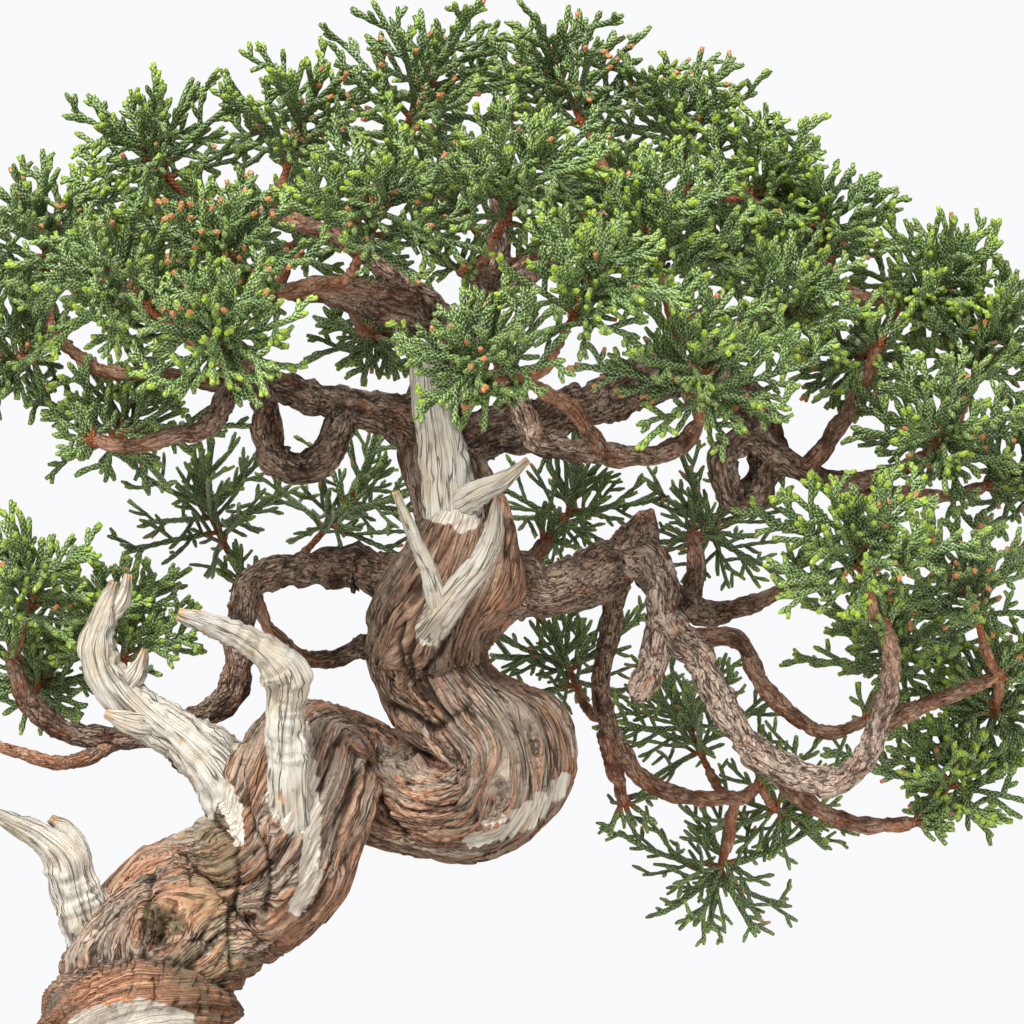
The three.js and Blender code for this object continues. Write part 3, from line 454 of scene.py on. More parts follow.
@dataclass(frozen=True)
class Streak:
    """Noise that is stretched along a limb's grain."""

    seed: int
    across: float  # how wide its waves are, in millimetres
    along: float  # how long they are
    width: float = 1.0  # of its cracks, for a wave


@dataclass
class Fibres:
    """The grain of a limb's surface, in which streaks are read."""

    angle: Array  # the grain's angle round the limb
    wide: float  # the radius on which it is laid out
    run: Array  # the distance along the limb
    places: Array = field(init=False)

    def __post_init__(self) -> None:
        """Lays the points out in the grain's own space, whose third axis runs along it."""
        ring = [np.cos(self.angle) * self.wide, np.sin(self.angle) * self.wide]
        self.places = np.stack([*ring, self.run], axis=-1)

    def read(self, streak: Streak) -> Array:
        """Reads a streak's noise at each point."""
        size = np.array([streak.across, streak.across, streak.along])
        return Texture3D(streak.seed).at(self.places / size)

    def split(self, streak: Streak) -> Array:
        """Gives cracks along the grain: 1 in the middle of a crack, 0 beside it."""
        return 1 - soft_step(np.abs(self.read(streak)), 0.0, streak.width)


# Meshes


def add_object(
    name: str,
    points: Array,
    faces: Sequence[Sequence[int]],
    attributes: Optional[Dict[str, Array]] = None,
    edges: Sequence[Sequence[int]] = (),
) -> Piece:
    """Makes a mesh object at the origin.

    Args:
        name: the piece's name.
        points: its points, in millimetres.
        faces: the point numbers of each face, turning outwards.
        attributes: values or vectors for each point, by name.
        edges: point numbers of loose edges, for lines that are dressed later.

    Returns:
        The object, linked to the scene.
    """
    mesh = bpy.data.meshes.new(name)
    mesh.from_pydata((np.asarray(points) * MM).tolist(), [list(e) for e in edges], list(faces))
    for key, values in (attributes or {}).items():
        values = np.asarray(values, dtype=np.float32)
        if values.ndim == 1:
            mesh.attributes.new(key, "FLOAT", "POINT").data.foreach_set("value", values)
        else:
            made = mesh.attributes.new(key, "FLOAT_VECTOR", "POINT")
            made.data.foreach_set("vector", values.ravel())
    mesh.validate()
    mesh.update()
    made = bpy.data.objects.new(name, mesh)
    bpy.context.scene.collection.objects.link(made)
    return made


def shade_smooth(piece: Piece) -> Piece:
    """Turns smooth shading on for every face of a piece."""
    piece.data.polygons.foreach_set("use_smooth", [True] * len(piece.data.polygons))
    return piece


def bake_modifiers(piece: Piece) -> Piece:
    """Turns a piece with its modifiers into a plain mesh.

    Args:
        piece: the object.

    Returns:
        The same object.
    """
    graph = bpy.context.evaluated_depsgraph_get()
    mesh = bpy.data.meshes.new_from_object(piece.evaluated_get(graph))
    piece.modifiers.clear()
    piece.data = mesh
    mesh.name = piece.name
    return piece


def finish_piece(piece: Piece, nodes: Sequence[str], material: Material) -> Piece:
    """Dresses a piece and sets it on the part.

    Args:
        piece: the finished mesh object.
        nodes: the nodes of the part that it stands for.
        material: its material.

    Returns:
        The piece.
    """
    if not piece.data.materials:
        piece.data.materials.append(material)
    else:
        piece.data.materials[0] = material
    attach(piece, "root")
    if nodes:
        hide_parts(*nodes)
    triangles = sum(len(face.vertices) - 2 for face in piece.data.polygons)
    LOG.info("%s: %d triangles", piece.name, triangles)
    return piece


def tube_faces(rings: int, sides: int, start: int = 0) -> List[Tuple[int, ...]]:
    """Lists the faces of a closed tube.

    The tube's points are its rings in order, then a point at its foot and one at its tip.

    Args:
        rings: the number of rings.
        sides: the number of points in each ring.
        start: the number of the tube's first point.

    Returns:
        The point numbers of each face.
    """
    i, j = np.meshgrid(np.arange(rings - 1), np.arange(sides), indexing="ij")
    a = i * sides + j
    b = i * sides + (j + 1) % sides
    quads = np.stack([a, b, b + sides, a + sides], axis=-1).reshape(-1, 4) + start
    foot, tip = start + rings * sides, start + rings * sides + 1
    last = start + (rings - 1) * sides
    caps = [(foot, start + (k + 1) % sides, start + k) for k in range(sides)]
    caps += [(tip, last + k, last + (k + 1) % sides) for k in range(sides)]
    return [tuple(quad) for quad in quads.tolist()] + caps


def loft(rings: Sequence[Array], start: int = 0) -> Tuple[Array, List[Tuple[int, ...]]]:
    """Joins rings of points to a closed shell, with a point in the middle of both ends."""
    points = np.vstack([*rings, rings[0].mean(0), rings[-1].mean(0)])
    return points, tube_faces(len(rings), len(rings[0]), start)


@dataclass
class Skin:
    """A limb's surface as a grid: rings along its line, points round each ring."""

    line: Line
    sides: int  # points round it
    flat: float = 1.0  # of its width that is left in depth
    angle: Array = field(init=False)
    run: Array = field(init=False)

    def __post_init__(self) -> None:
        """Works out the angle and the distance along the limb of each point."""
        round_it = np.arange(self.sides) * TURN / self.sides
        self.angle, self.run = np.meshgrid(round_it, self.line.run)

    def points(self, radius: Array) -> Array:
        """Gives the places of the grid's points.

        Args:
            radius: the radius at each of them.

        Returns:
            The places, with x, y, z last.
        """
        wide = self.line.side[:, None] * (radius * np.sin(self.angle))[..., None]
        deep = self.line.across[:, None] * (radius * np.cos(self.angle) * self.flat)[..., None]
        return self.line.at[:, None] + wide + deep

    def outward(self) -> Array:
        """Gives the direction in which the surface looks, straight out from the line."""
        return unit(self.points(np.ones_like(self.run)) - self.line.at[:, None])

    def closed(self, radius: Array, values: Dict[str, Array], start: int = 0) -> Tuple:
        """Closes the grid to a tube.

        Args:
            radius: the radius at each point of the grid.
            values: values at each point of the grid, by name.
            start: the number of the tube's first point.

        Returns:
            Its points, its faces and its values, with the two end points added.
        """
        points, faces = loft(self.points(radius), start)
        full = {}
        for key, value in values.items():
            rows = value.reshape((-1,) + value.shape[2:])
            full[key] = np.concatenate([rows, [value[0].mean(0)], [value[-1].mean(0)]])
        return points, faces, full


@dataclass
class Wires:
    """Bare lines that carry values at each point, for a node tree to dress."""

    points: List[Array] = field(default_factory=list)
    edges: List[Tuple[int, int]] = field(default_factory=list)
    values: Dict[str, List[Array]] = field(default_factory=dict)
    count: int = 0

    def add(self, line: Array, **given: Union[float, Array]) -> None:
        """Adds a line.

        Args:
            line: its points, from foot to tip.
            given: values by name, one for the whole line or one for each point.
        """
        for key, value in given.items():
            self.values.setdefault(key, []).append(np.broadcast_to(value, len(line)))
        self.points.append(line)
        self.edges += [(self.count + k, self.count + k + 1) for k in range(len(line) - 1)]
        self.count += len(line)

    def build(self, name: str) -> Piece:
        """Makes one object of all the lines."""
        values = {key: np.concatenate(parts) for key, parts in self.values.items()}
        return add_object(name, np.vstack(self.points), (), values, self.edges)


def join_tubes(name: str, tubes: Sequence[Callable[[int], Tuple]]) -> Piece:
    """Makes one object of several tubes.

    Args:
        name: the piece's name.
        tubes: for each tube, what makes its points, faces and values from its first number.

    Returns:
        The object.
    """
    points, faces, values, start = [], [], {}, 0
    for make in tubes:
        places, sides, given = make(start)
        points.append(places)
        faces.extend(sides)
        for key, value in given.items():
            values.setdefault(key, []).append(value)
        start += len(places)
    merged = {key: np.concatenate(parts) for key, parts in values.items()}
    return shade_smooth(add_object(name, np.vstack(points), faces, merged))


# Node trees


class Value:
    """A number in a node tree that takes part in sums, each of which adds a Math node."""

    def __init__(self, graph: "Graph", socket: Socket) -> None:
        """Wraps a socket of a graph."""
        self.graph, self.socket = graph, socket

    def __add__(self, other: "Number") -> "Value":
        """Adds."""
        return self.graph.math("ADD", self, other)

    def __sub__(self, other: "Number") -> "Value":
        """Takes away."""
        return self.graph.math("SUBTRACT", self, other)

    def __rsub__(self, other: "Number") -> "Value":
        """Takes this from a number."""
        return self.graph.math("SUBTRACT", other, self)

    def __mul__(self, other: "Number") -> "Value":
        """Multiplies."""
        return self.graph.math("MULTIPLY", self, other)

    def __truediv__(self, other: "Number") -> "Value":
        """Divides."""
        return self.graph.math("DIVIDE", self, other)

    def __rtruediv__(self, other: "Number") -> "Value":
        """Divides a number by this."""
        return self.graph.math("DIVIDE", other, self)

    def __pow__(self, other: "Number") -> "Value":
        """Raises to a power."""
        return self.graph.math("POWER", self, other)

    __radd__ = __add__
    __rmul__ = __mul__


Number = Union[Value, float, int]


@dataclass(frozen=True)
class Waves:
    """The settings of smooth noise."""

    scale: Union[float, Row]  # how many in a unit, or in one along x, y and z of the grain
    detail: float  # how many finer layers it has
    rough: float  # how strong those are


@dataclass(frozen=True)
class Coat:
    """A paint that is laid over the colours before it where one of a finish's values is high."""

    paint: str  # its colour, as the finish names it
    source: str  # the value that it follows
    share: float = 1.0  # what shows at most
    steps: Tuple[float, ...] = ()  # the values at which none and all of it shows
    within: str = ""  # a second value, which the first is multiplied by


class Graph:
    """Builds a node tree, for a material or for geometry."""

    def __init__(self, tree: bpy.types.NodeTree) -> None:
        """Starts on an empty tree."""
        self.tree = tree

    def node(
        self, kind: str, settings: Optional[Dict] = None, inputs: Optional[Dict] = None
    ) -> bpy.types.Node:
        """Adds a node.

        Args:
            kind: the node's type.
            settings: what is set on it first, such as an operation, or a ramp's stops.
            inputs: values or links of its sockets, by name or position.

        Returns:
            The node.
        """
        made = self.tree.nodes.new(kind)
        for key, value in (settings or {}).items():
            if key == "stops":
                ramp = made.color_ramp.elements
                while len(ramp) < len(value):
                    ramp.new(0.5)
                for stop, (position, colour) in zip(ramp, value):
                    stop.position, stop.color = position, (*colour, 1)
            else:
                setattr(made, key, value)
        for key, value in (inputs or {}).items():
            value = value.socket if isinstance(value, Value) else value
            if isinstance(value, Socket):
                self.tree.links.new(value, made.inputs[key])
            elif isinstance(value, tuple) and made.inputs[key].type == "RGBA":
                made.inputs[key].default_value = (*value, 1)
            else:
                made.inputs[key].default_value = value
        return made

    def out(
        self, kind: str, settings: Optional[Dict] = None, inputs: Optional[Dict] = None
    ) -> Socket:
        """Adds a node and gives its first output."""
        return self.node(kind, settings, inputs).outputs[0]

    def math(self, operation: str, *terms: Number) -> Value:
        """Adds a Math node and gives its result."""
        made = self.out("ShaderNodeMath", {"operation": operation}, dict(enumerate(terms)))
        return Value(self, made)

    def vector_math(self, operation: str, *terms: object) -> Socket:
        """Adds a Vector Math node and gives its result."""
        return self.out("ShaderNodeVectorMath", {"operation": operation}, dict(enumerate(terms)))

    def attribute(self, name: str) -> Value:
        """Reads a number that is stored on the surface."""
        made = self.node("ShaderNodeAttribute", {"attribute_name": name})
        return Value(self, made.outputs["Fac"])

    def vector(self, name: str) -> Socket:
        """Reads a vector that is stored on the surface."""
        return self.node("ShaderNodeAttribute", {"attribute_name": name}).outputs["Vector"]

    def stretch(self, vector: Socket, factors: Tuple) -> Socket:
        """Multiplies a vector by factors for x, y and z."""
        return self.vector_math("MULTIPLY", vector, factors)

    def noise(self, vector: Socket, waves: Waves) -> Value:
        """Reads smooth noise, about 0.2 to 0.8.

        Args:
            vector: where it is read.
            waves: its settings.

        Returns:
            The noise.
        """
        scale = waves.scale
        if isinstance(scale, tuple):
            vector, scale = self.stretch(vector, scale), 1.0
        inputs = {"Vector": vector, "Scale": scale, "Detail": waves.detail}
        inputs["Roughness"] = waves.rough
        return Value(self, self.out("ShaderNodeTexNoise", None, inputs))

    def seam(self, vector: Socket, scale: Row, width: float, detail: float = 2) -> Value:
        """Gives thin winding cracks: 1 in a crack, 0 beside it."""
        waves = self.noise(vector, Waves(scale, detail, 0.55))
        return self.step(self.math("ABSOLUTE", waves - 0.5), width, 0.0)

    def flakes(self, vector: Socket, scale: Row, count: float) -> Tuple[Value, Value]:
        """Lays overlapping flakes.

        Args:
            vector: where on the surface.
            scale: how many flakes there are in a unit, along x, y and z.
            count: how many layers overlap.

        Returns:
            The height within each flake, which falls off at one edge, and its own tone, 0 to 1.
        """
        levels = self.noise(vector, Waves(scale, 3, 0.6)) * count
        whole = self.math("FLOOR", levels)
        settings = {"noise_dimensions": "1D"}
        tone = self.out("ShaderNodeTexWhiteNoise", settings, {"W": whole + 0.5})
        return levels - whole, Value(self, tone)

    def step(self, value: Number, low: float, high: float) -> Value:
        """Rises smoothly from 0 at low to 1 at high."""
        inputs, settings = {0: value, 1: low, 2: high}, {"interpolation_type": "SMOOTHSTEP"}
        return Value(self, self.out("ShaderNodeMapRange", settings, inputs))

    def mix(self, share: Number, first: object, second: object) -> Socket:
        """Mixes two colours by the share of the second one that shows."""
        made = self.node("ShaderNodeMix", {"data_type": "RGBA"}, {0: share, 6: first, 7: second})
        return made.outputs[2]

    def ramp(self, value: Number, *stops: Tuple[float, Colour]) -> Socket:
        """Turns a number into a colour between those of the stops."""
        return self.out("ShaderNodeValToRGB", {"stops": stops}, {0: value})

    def lay(
        self, colour: object, coats: Sequence[Coat], values: Dict[str, Value], paints: object
    ) -> Socket:
        """Lays coats of paint over a colour, in their order.

        Args:
            colour: the colour below them, or a link.
            coats: the coats.
            values: the values that they follow, by name.
            paints: what holds their paints by name.

        Returns:
            The colour with its coats.
        """
        for coat in coats:
            share = values[coat.source]
            share = self.step(share, *coat.steps) if coat.steps else share
            share = values[coat.within] * share if coat.within else share
            colour = self.mix(share * coat.share, colour, getattr(paints, coat.paint))
        return colour

    def scaled(self, vector: Socket, amount: Number) -> Socket:
        """Multiplies a colour or a vector by a number."""
        return self.out("ShaderNodeVectorMath", {"operation": "SCALE"}, {0: vector, 3: amount})


@dataclass
class Surface:
    """A material that is being built: its graph and its shader."""

    name: str
    graph: Graph = field(init=False)
    material: Material = field(init=False)

    def __post_init__(self) -> None:
        """Makes the empty material."""
        self.material = bpy.data.materials.new(self.name)
        self.material.use_nodes = True
        self.material.node_tree.nodes.clear()
        self.graph = Graph(self.material.node_tree)

    def place(self) -> Socket:
        """Reads the place on the object."""
        return self.graph.node("ShaderNodeTexCoord").outputs["Object"]

    def grain(self) -> Socket:
        """Reads the place in the stored grain."""
        return self.graph.vector("fibre")

    def read(self, stored: Sequence[str], waves: Dict[str, Waves]) -> Dict[str, Value]:
        """Reads what a finish works with.

        Args:
            stored: the names of numbers that are stored on the surface.
            waves: its noises by name. One with three scales follows the stored grain.

        Returns:
            Each value by its name.
        """
        values = {name: self.graph.attribute(name) for name in stored}
        for name, wave in waves.items():
            where = self.grain() if isinstance(wave.scale, tuple) else self.place()
            values[name] = self.graph.noise(where, wave)
        return values

    def close(
        self,
        colour: Socket,
        rough: Number,
        height: Optional[Value] = None,
        depth: float = 0.0,
        shine: float = 0.5,
    ) -> Material:
        """Ends the material in its shader.

        Args:
            colour: the base colour.
            rough: the roughness.
            height: the height of the fine relief, 0 to 1.
            depth: how deep that relief is, in metres.
            shine: the strength of its mirror light.

        Returns:
            The material.
        """
        graph = self.graph
        inputs = {"Base Color": colour, "Roughness": rough, "Specular IOR Level": shine}
        if height is not None:
            bump = {"Height": height, "Distance": depth, "Strength": 1.0}
            inputs["Normal"] = graph.out("ShaderNodeBump", None, bump)
        shader = graph.out("ShaderNodeBsdfPrincipled", None, inputs)
        graph.node("ShaderNodeOutputMaterial", None, {"Surface": shader})
        return self.material


def paint(red: int, green: int, blue: int) -> Colour:
    """Turns a colour as seen into light values.

    Args:
        red: its red, 0 to 255.
        green: its green, 0 to 255.
        blue: its blue, 0 to 255.

    Returns:
        The colour in light values, 0 to 1.
    """
    return tuple(
        c / 12.92 if c <= 0.04045 else ((c + 0.055) / 1.055) ** 2.4
        for c in (red / 255, green / 255, blue / 255)
    )


# Finishes


@dataclass(frozen=True)
class Finish:
    """What every finish has."""

    name: ClassVar[str] = ""
    stored: ClassVar[Tuple[str, ...]] = ()  # the numbers that it reads from the surface
    waves: ClassVar[Dict[str, Waves]] = {}  # its noises
    shine: ClassVar[float] = 0.5  # the strength of its mirror light
    depth: ClassVar[float] = 0.0  # of its fine relief, in metres
    crack: ClassVar[float] = 0.035  # how wide its long cracks are

    def begin(self) -> Tuple[Surface, Dict[str, Value]]:
        """Starts the material and reads the finish's values."""
        surface = Surface(self.name)
        return surface, surface.read(self.stored, self.waves)

    def cracks(
        self, surface: Surface, seams: Row, checks: Row, width: float, share: float
    ) -> Value:
        """Draws long cracks, and shorter ones across them.

        Args:
            surface: the surface that is being built.
            seams: how many long cracks there are in a millimetre, along x, y and z.
            checks: how many short ones there are.
            width: how wide the short ones are.
            share: how deep the short ones are beside the long ones.

        Returns:
            1 in a crack, 0 beside it.
        """
        g, grain = surface.graph, surface.grain()
        short = g.seam(grain, checks, width) * share
        return g.math("MAXIMUM", g.seam(grain, seams, self.crack), short)


@dataclass(frozen=True)
class BarkFinish(Finish):
    """Fibrous bark that splits along the grain, with bleached strips and green algae."""

    # crest: lighter tan on the raised flake edges, partly weathered bark, partly a painted
    # highlight
    crest: Colour = paint(210, 188, 165)
    brown: Colour = paint(164, 131, 107)
    rust: Colour = paint(188, 134, 100)
    amber: Colour = paint(240, 170, 126)
    grey: Colour = paint(166, 150, 133)
    # painted shade: darkens the upper trunk's left side, where the crown shades it
    umber: Colour = paint(134, 111, 91)
    # groove: the dark of cracks and fibres, and painted shade in the bark's low relief
    groove: Colour = paint(50, 35, 27)
    bleached: Colour = paint(212, 206, 192)
    green: Colour = paint(118, 120, 84)

    name = "trunk_bark"
    stored = ("relief", "pale", "algae", "eye", "warm", "dull")
    waves = {
        "fine": Waves((2.2, 2.2, 0.26), 5, 0.66), "hairs": Waves((5.5, 5.5, 0.3), 3, 0.6),
        "dust": Waves(1000, 4, 0.65), "broad": Waves((0.09, 0.09, 0.03), 2, 0.5),
        "patch": Waves(110, 3, 0.6), "shadow": Waves(55, 4, 0.62),
    }
    shine = 0.2
    depth = 0.0011
    rough = 0.92
    flake_scale = (0.3, 0.3, 0.05)
    flake_layers = 16
    seam_scale = (0.42, 0.42, 0.045)
    check_scale = (0.9, 0.9, 0.09)
    bare_scale = (0.7, 0.7, 0.05)
    tones = (
        Coat("amber", "patch", 0.75, (0.36, 0.56), "warm"),
        # painted shade of the crown on the upper trunk's left side
        Coat("umber", "dull", 0.6),
        # lighter on the flakes' raised edges: partly weathered bark, partly a painted highlight
        Coat("crest", "ridge", 0.45, (0.55, 1.0)),
    )
    lines = (
        Coat("groove", "fine", 0.45, (0.46, 0.3)),
        Coat("groove", "dust", 0.45, (0.48, 0.36)),
        Coat("groove", "hairs", 0.5, (0.47, 0.34)),
        Coat("groove", "seams", 0.8),
        # painted shade: darker where the relief is low, in cracks, creases, the low fold and the
        # shaded grooves
        Coat("groove", "relief", 0.8, (0.5, 0.06)),
    )
    weathering = (
        Coat("grey", "fine", 0.8, (0.52, 0.36)),
        Coat("brown", "bare_seams", 0.7),
    )
    marks = (
        # partly the knot's own dark wood, partly painted shade in its hollow
        Coat("groove", "dust", 0.85, (0.62, 0.42), "eye"),
        Coat("green", "film", 0.6, (0.58, 0.85), "damp"),
    )

    def material(self) -> Material:
        """Makes the material.

        Returns:
            The material, which reads the trunk's stored grain, relief and masks.
        """
        surface, v = self.begin()
        g, grain, fine, dust = surface.graph, surface.grain(), v["fine"], v["dust"]
        pale = g.step(v["pale"] + fine * 0.14 - 0.07, 0.36, 0.6)
        edge, tone = g.flakes(grain, self.flake_scale, self.flake_layers)
        seams = self.cracks(surface, self.seam_scale, self.check_scale, 0.03, 0.7)
        seams = seams * (1 - pale * 0.7) * (g.step(v["patch"], 0.42, 0.56) * 0.75 + 0.25)
        v["seams"], v["bare_seams"] = seams, g.seam(grain, self.bare_scale, 0.03)
        v["ridge"], v["film"] = edge * 0.35 + fine, dust + fine * 0.4
        v["damp"] = v["algae"] * (1 - pale)
        colour = g.ramp(
            tone * 0.6 + v["broad"] * 1.6 - 0.6,
            (0.0, self.brown), (0.3, self.rust), (0.55, self.brown), (0.8, self.grey),
        )
        colour = g.lay(colour, self.tones, v, self)
        colour = g.scaled(colour, g.step(v["shadow"], 0.36, 0.66) * 0.42 + 0.76)
        colour = g.lay(colour, self.lines, v, self)
        bare = g.lay(self.bleached, self.weathering, v, self)
        colour = g.mix(pale * (1 - seams * 0.6), colour, g.scaled(bare, fine * 0.5 + 0.75))
        colour = g.lay(colour, self.marks, v, self)
        height = edge * 0.35 * (1 - pale) - seams * 0.8 + fine * 0.45 + dust * 0.12
        return surface.close(colour, self.rough, height, self.depth, self.shine)


@dataclass(frozen=True)
class LimbFinish(Finish):
    """The thinner bark of branches and twigs: dark flakes, or rusty beads on young wood."""

    dark: Colour = paint(106, 79, 63)
    rust: Colour = paint(160, 102, 70)
    crest: Colour = paint(178, 156, 136)
    rosy: Colour = paint(220, 196, 176)
    bead: Colour = paint(190, 116, 74)
    groove: Colour = paint(40, 28, 23)

    name = "limb_bark"
    stored = ("relief", "young", "light")
    waves = {"fine": Waves((2.2, 2.2, 0.5), 4, 0.65), "dust": Waves(700, 4, 0.6),
             "patch": Waves(190, 3, 0.6)}
    shine = 0.2
    depth = 0.0011
    rough = 0.9
    flake_scale = (0.34, 0.34, 0.13)
    flake_layers = 14
    seam_scale = (0.7, 0.7, 0.16)
    check_scale = (0.5, 0.5, 0.42)
    tones = (
        Coat("rust", "light", 0.7), Coat("rosy", "speckle", 0.9, (0.5, 1.0), "light"),
    )
    beads = (Coat("crest", "fine", 0.5, (0.4, 0.65)),)
    lines = (
        Coat("groove", "patch", 0.5, (0.5, 0.36)),
        Coat("crest", "worn", 0.85, (1.1, 1.5)),
        Coat("groove", "fine", 0.6, (0.44, 0.28)),
        Coat("groove", "seams", 0.85),
        # painted shade: darker between the flakes, where the stored relief is low
        Coat("groove", "relief", 1.0, (0.6, 0.1), "hold"),
    )

    def material(self) -> Material:
        """Makes the material, which reads each limb's stored grain, relief and kind.

        Returns:
            The material.
        """
        surface, v = self.begin()
        g, grain = surface.graph, surface.grain()
        fine, dust, young = v["fine"], v["dust"], v["young"]
        edge, tone = g.flakes(grain, self.flake_scale, self.flake_layers)
        seams = self.cracks(surface, self.seam_scale, self.check_scale, 0.018, 0.9)
        v["seams"] = seams * (1 - young * 0.8)
        v["speckle"], v["worn"] = tone + dust, edge * 0.4 + fine + v["patch"]
        v["hold"] = young * 0.1 + 0.6
        colour = g.ramp(
            tone * 0.9 + dust * 0.4 - 0.2,
            (0.0, self.dark), (0.4, self.rust), (0.6, self.dark), (0.85, self.crest),
        )
        colour = g.lay(colour, self.tones, v, self)
        colour = g.mix(young, colour, g.lay(self.bead, self.beads, v, self))
        colour = g.lay(colour, self.lines, v, self)
        height = edge * 0.5 - v["seams"] * 0.8 + fine * 0.5 + dust * 0.3
        return surface.close(colour, self.rough, height, self.depth, self.shine)


@dataclass(frozen=True)
class DeadwoodFinish(Finish):
    """Bleached wood with fine grey grain, dark checks and amber broken ends."""

    silver: Colour = paint(206, 201, 189)
    cream: Colour = paint(202, 190, 168)
    grain: Colour = paint(146, 137, 123)
    check: Colour = paint(84, 70, 56)
    tan: Colour = paint(214, 160, 98)

    name = "bleached_wood"
    stored = ("relief", "end")
    waves = {"fine": Waves((2.4, 2.4, 0.09), 5, 0.62), "patches": Waves(120, 3, 0.5),
             "stain": Waves(330, 3, 0.6), "rust": Waves(210, 3, 0.6)}
    shine = 0.3
    depth = 0.0007
    check_scale = (0.55, 0.55, 0.03)
    coats = (
        Coat("cream", "patches", 1.0, (0.42, 0.64)),
        Coat("grain", "fine", 0.75, (0.52, 0.32)),
        Coat("check", "checks", 0.75),
        # grey in the furrows, where the relief is low: partly the grain's grey, partly painted
        # shade
        Coat("grain", "relief", 0.5, (0.4, 0.0)),
        Coat("tan", "fine", 1.0, (0.3, 0.6), "end"),
        Coat("grain", "stain", 0.55, (0.56, 0.7)),
        Coat("tan", "rust", 0.5, (0.62, 0.72)),
    )

    def material(self) -> Material:
        """Makes the material, which reads each jin's stored grain, relief and ends.

        Returns:
            The material.
        """
        surface, v = self.begin()
        v["checks"] = surface.graph.seam(surface.grain(), self.check_scale, 0.018)
        colour = surface.graph.lay(self.silver, self.coats, v, self)
        rough, height = 0.82 - v["relief"] * 0.08, v["fine"] - v["checks"] * 0.8
        return surface.close(colour, rough, height, self.depth, self.shine)


@dataclass(frozen=True)
class LeafFinish(Finish):
    """Scale leaves pressed to their stem in a lattice, fresh at the tips and brown when old."""

    deep: Colour = paint(60, 92, 40)
    leaf: Colour = paint(116, 148, 58)
    lively: Colour = paint(142, 172, 62)
    fresh: Colour = paint(164, 190, 60)
    # edge: a painted shadow at the foot of each scale, under the tip of the scale before it
    edge: Colour = paint(13, 26, 14)
    rim: Colour = paint(198, 217, 166)
    dry: Colour = paint(210, 136, 88)
    brown: Colour = paint(168, 96, 56)

    name = "scale_leaves"
    stored = ("tip", "age", "tone")
    waves = {"patches": Waves(260, 2, 0.5)}
    shine = 0.35
    depth = 0.00022
    turns = (0.5, 1.5)  # how the lattice's lines lean
    whole = 100.0  # keeps the lattice's values above 0
    coats = (
        Coat("leaf", "shade", 1.0, (0.45, 0.95)),
        Coat("lively", "tip", 0.4, (5.0, 0.8)),
        # painted shadow at each scale's foot
        Coat("edge", "inner", 0.9, (0.42, 0.1)),
        Coat("rim", "outer", 0.62, (0.22, 0.1)),
        Coat("fresh", "tip", 1.0, (1.5, 0.35), "vigour"),
        Coat("dry", "tip", 1.0, (1.2, 0.4), "sere"),
    )
    # the same painted shadow on the old brown scales
    scales = (Coat("edge", "inner", 0.75, (0.34, 0.08)),)

    def material(self) -> Material:
        """Makes the material, which reads each shoot's stored lattice, tip distance and age.

        Returns:
            The material.
        """
        surface, v = self.begin()
        g = surface.graph
        ring = g.node("ShaderNodeSeparateXYZ", inputs={0: g.vector("lattice")})
        x, y, along = (Value(g, socket) for socket in ring.outputs)
        around = g.math("ARCTAN2", y, x) * (2 / math.pi) + 0.5
        first = g.math("FRACT", around - along * self.turns[0] + self.whole)
        second = g.math("FRACT", around + along * self.turns[1] + self.whole)
        v["outer"] = g.math("MINIMUM", first, 1 - second)
        # inner is low at each scale's foot, where the edge colour paints the shadow of the scale
        # before it
        v["inner"] = g.math("MINIMUM", 1 - first, second)
        v["shade"] = v["patches"] + v["tone"] * 0.4
        v["vigour"] = g.step(v["tone"], 0.38, 0.8) * 0.85 + 0.08
        v["sere"] = g.step(v["tone"], 0.06, 0.01)
        colour = g.lay(self.deep, self.coats, v, self)
        scale = g.lay(self.brown, self.scales, v, self)
        colour = g.mix(g.step(v["age"], 0.35, 0.65), colour, scale)
        rough, height = v["age"] * 0.3 + 0.48, g.step(v["inner"], 0.0, 0.5)
        return surface.close(colour, rough, height, self.depth, self.shine)


@dataclass(frozen=True)
class PlainFinish(Finish):
    """A finish of one colour under coats, with a fine grain."""

    base: ClassVar[Colour]
    coats: ClassVar[Tuple[Coat, ...]]
    rough: ClassVar[float]  # its lowest roughness

    def material(self) -> Material:
        """Makes the material.

        Returns:
            The material.
        """
        surface, v = self.begin()
        colour = surface.graph.lay(self.base, self.coats, v, self)
        return surface.close(colour, v["broad"] * 0.2 + self.rough, v["fine"], self.depth)


@dataclass(frozen=True)
class ClayFinish(PlainFinish):
    """Unglazed brown clay with a fine grain and darker handling marks."""

    dark: Colour = paint(76, 49, 39)
    dust: Colour = paint(150, 112, 88)

    name = "unglazed_clay"
    base = paint(112, 72, 54)
    waves = {"broad": Waves(22, 4, 0.55), "fine": Waves(900, 3, 0.6)}
    rough = 0.62
    depth = 0.0003
    coats = (
        Coat("dark", "broad", 1.0, (0.36, 0.66)),
        Coat("dust", "fine", 0.5, (0.58, 0.72)),
        Coat("dark", "fine", 0.5, (0.4, 0.3)),
    )


@dataclass(frozen=True)
class MouldedFinish(PlainFinish):
    """Dark moulded plastic, slightly dusty."""

    dust: Colour = paint(110, 104, 92)

    name = "moulded_mesh"
    base = paint(44, 47, 44)
    waves = {"broad": Waves(150, 3, 0.6), "fine": Waves(2500, 2, 0.5)}
    rough = 0.5
    depth = 0.0001
    coats = (Coat("dust", "broad", 0.5, (0.5, 0.75)),)


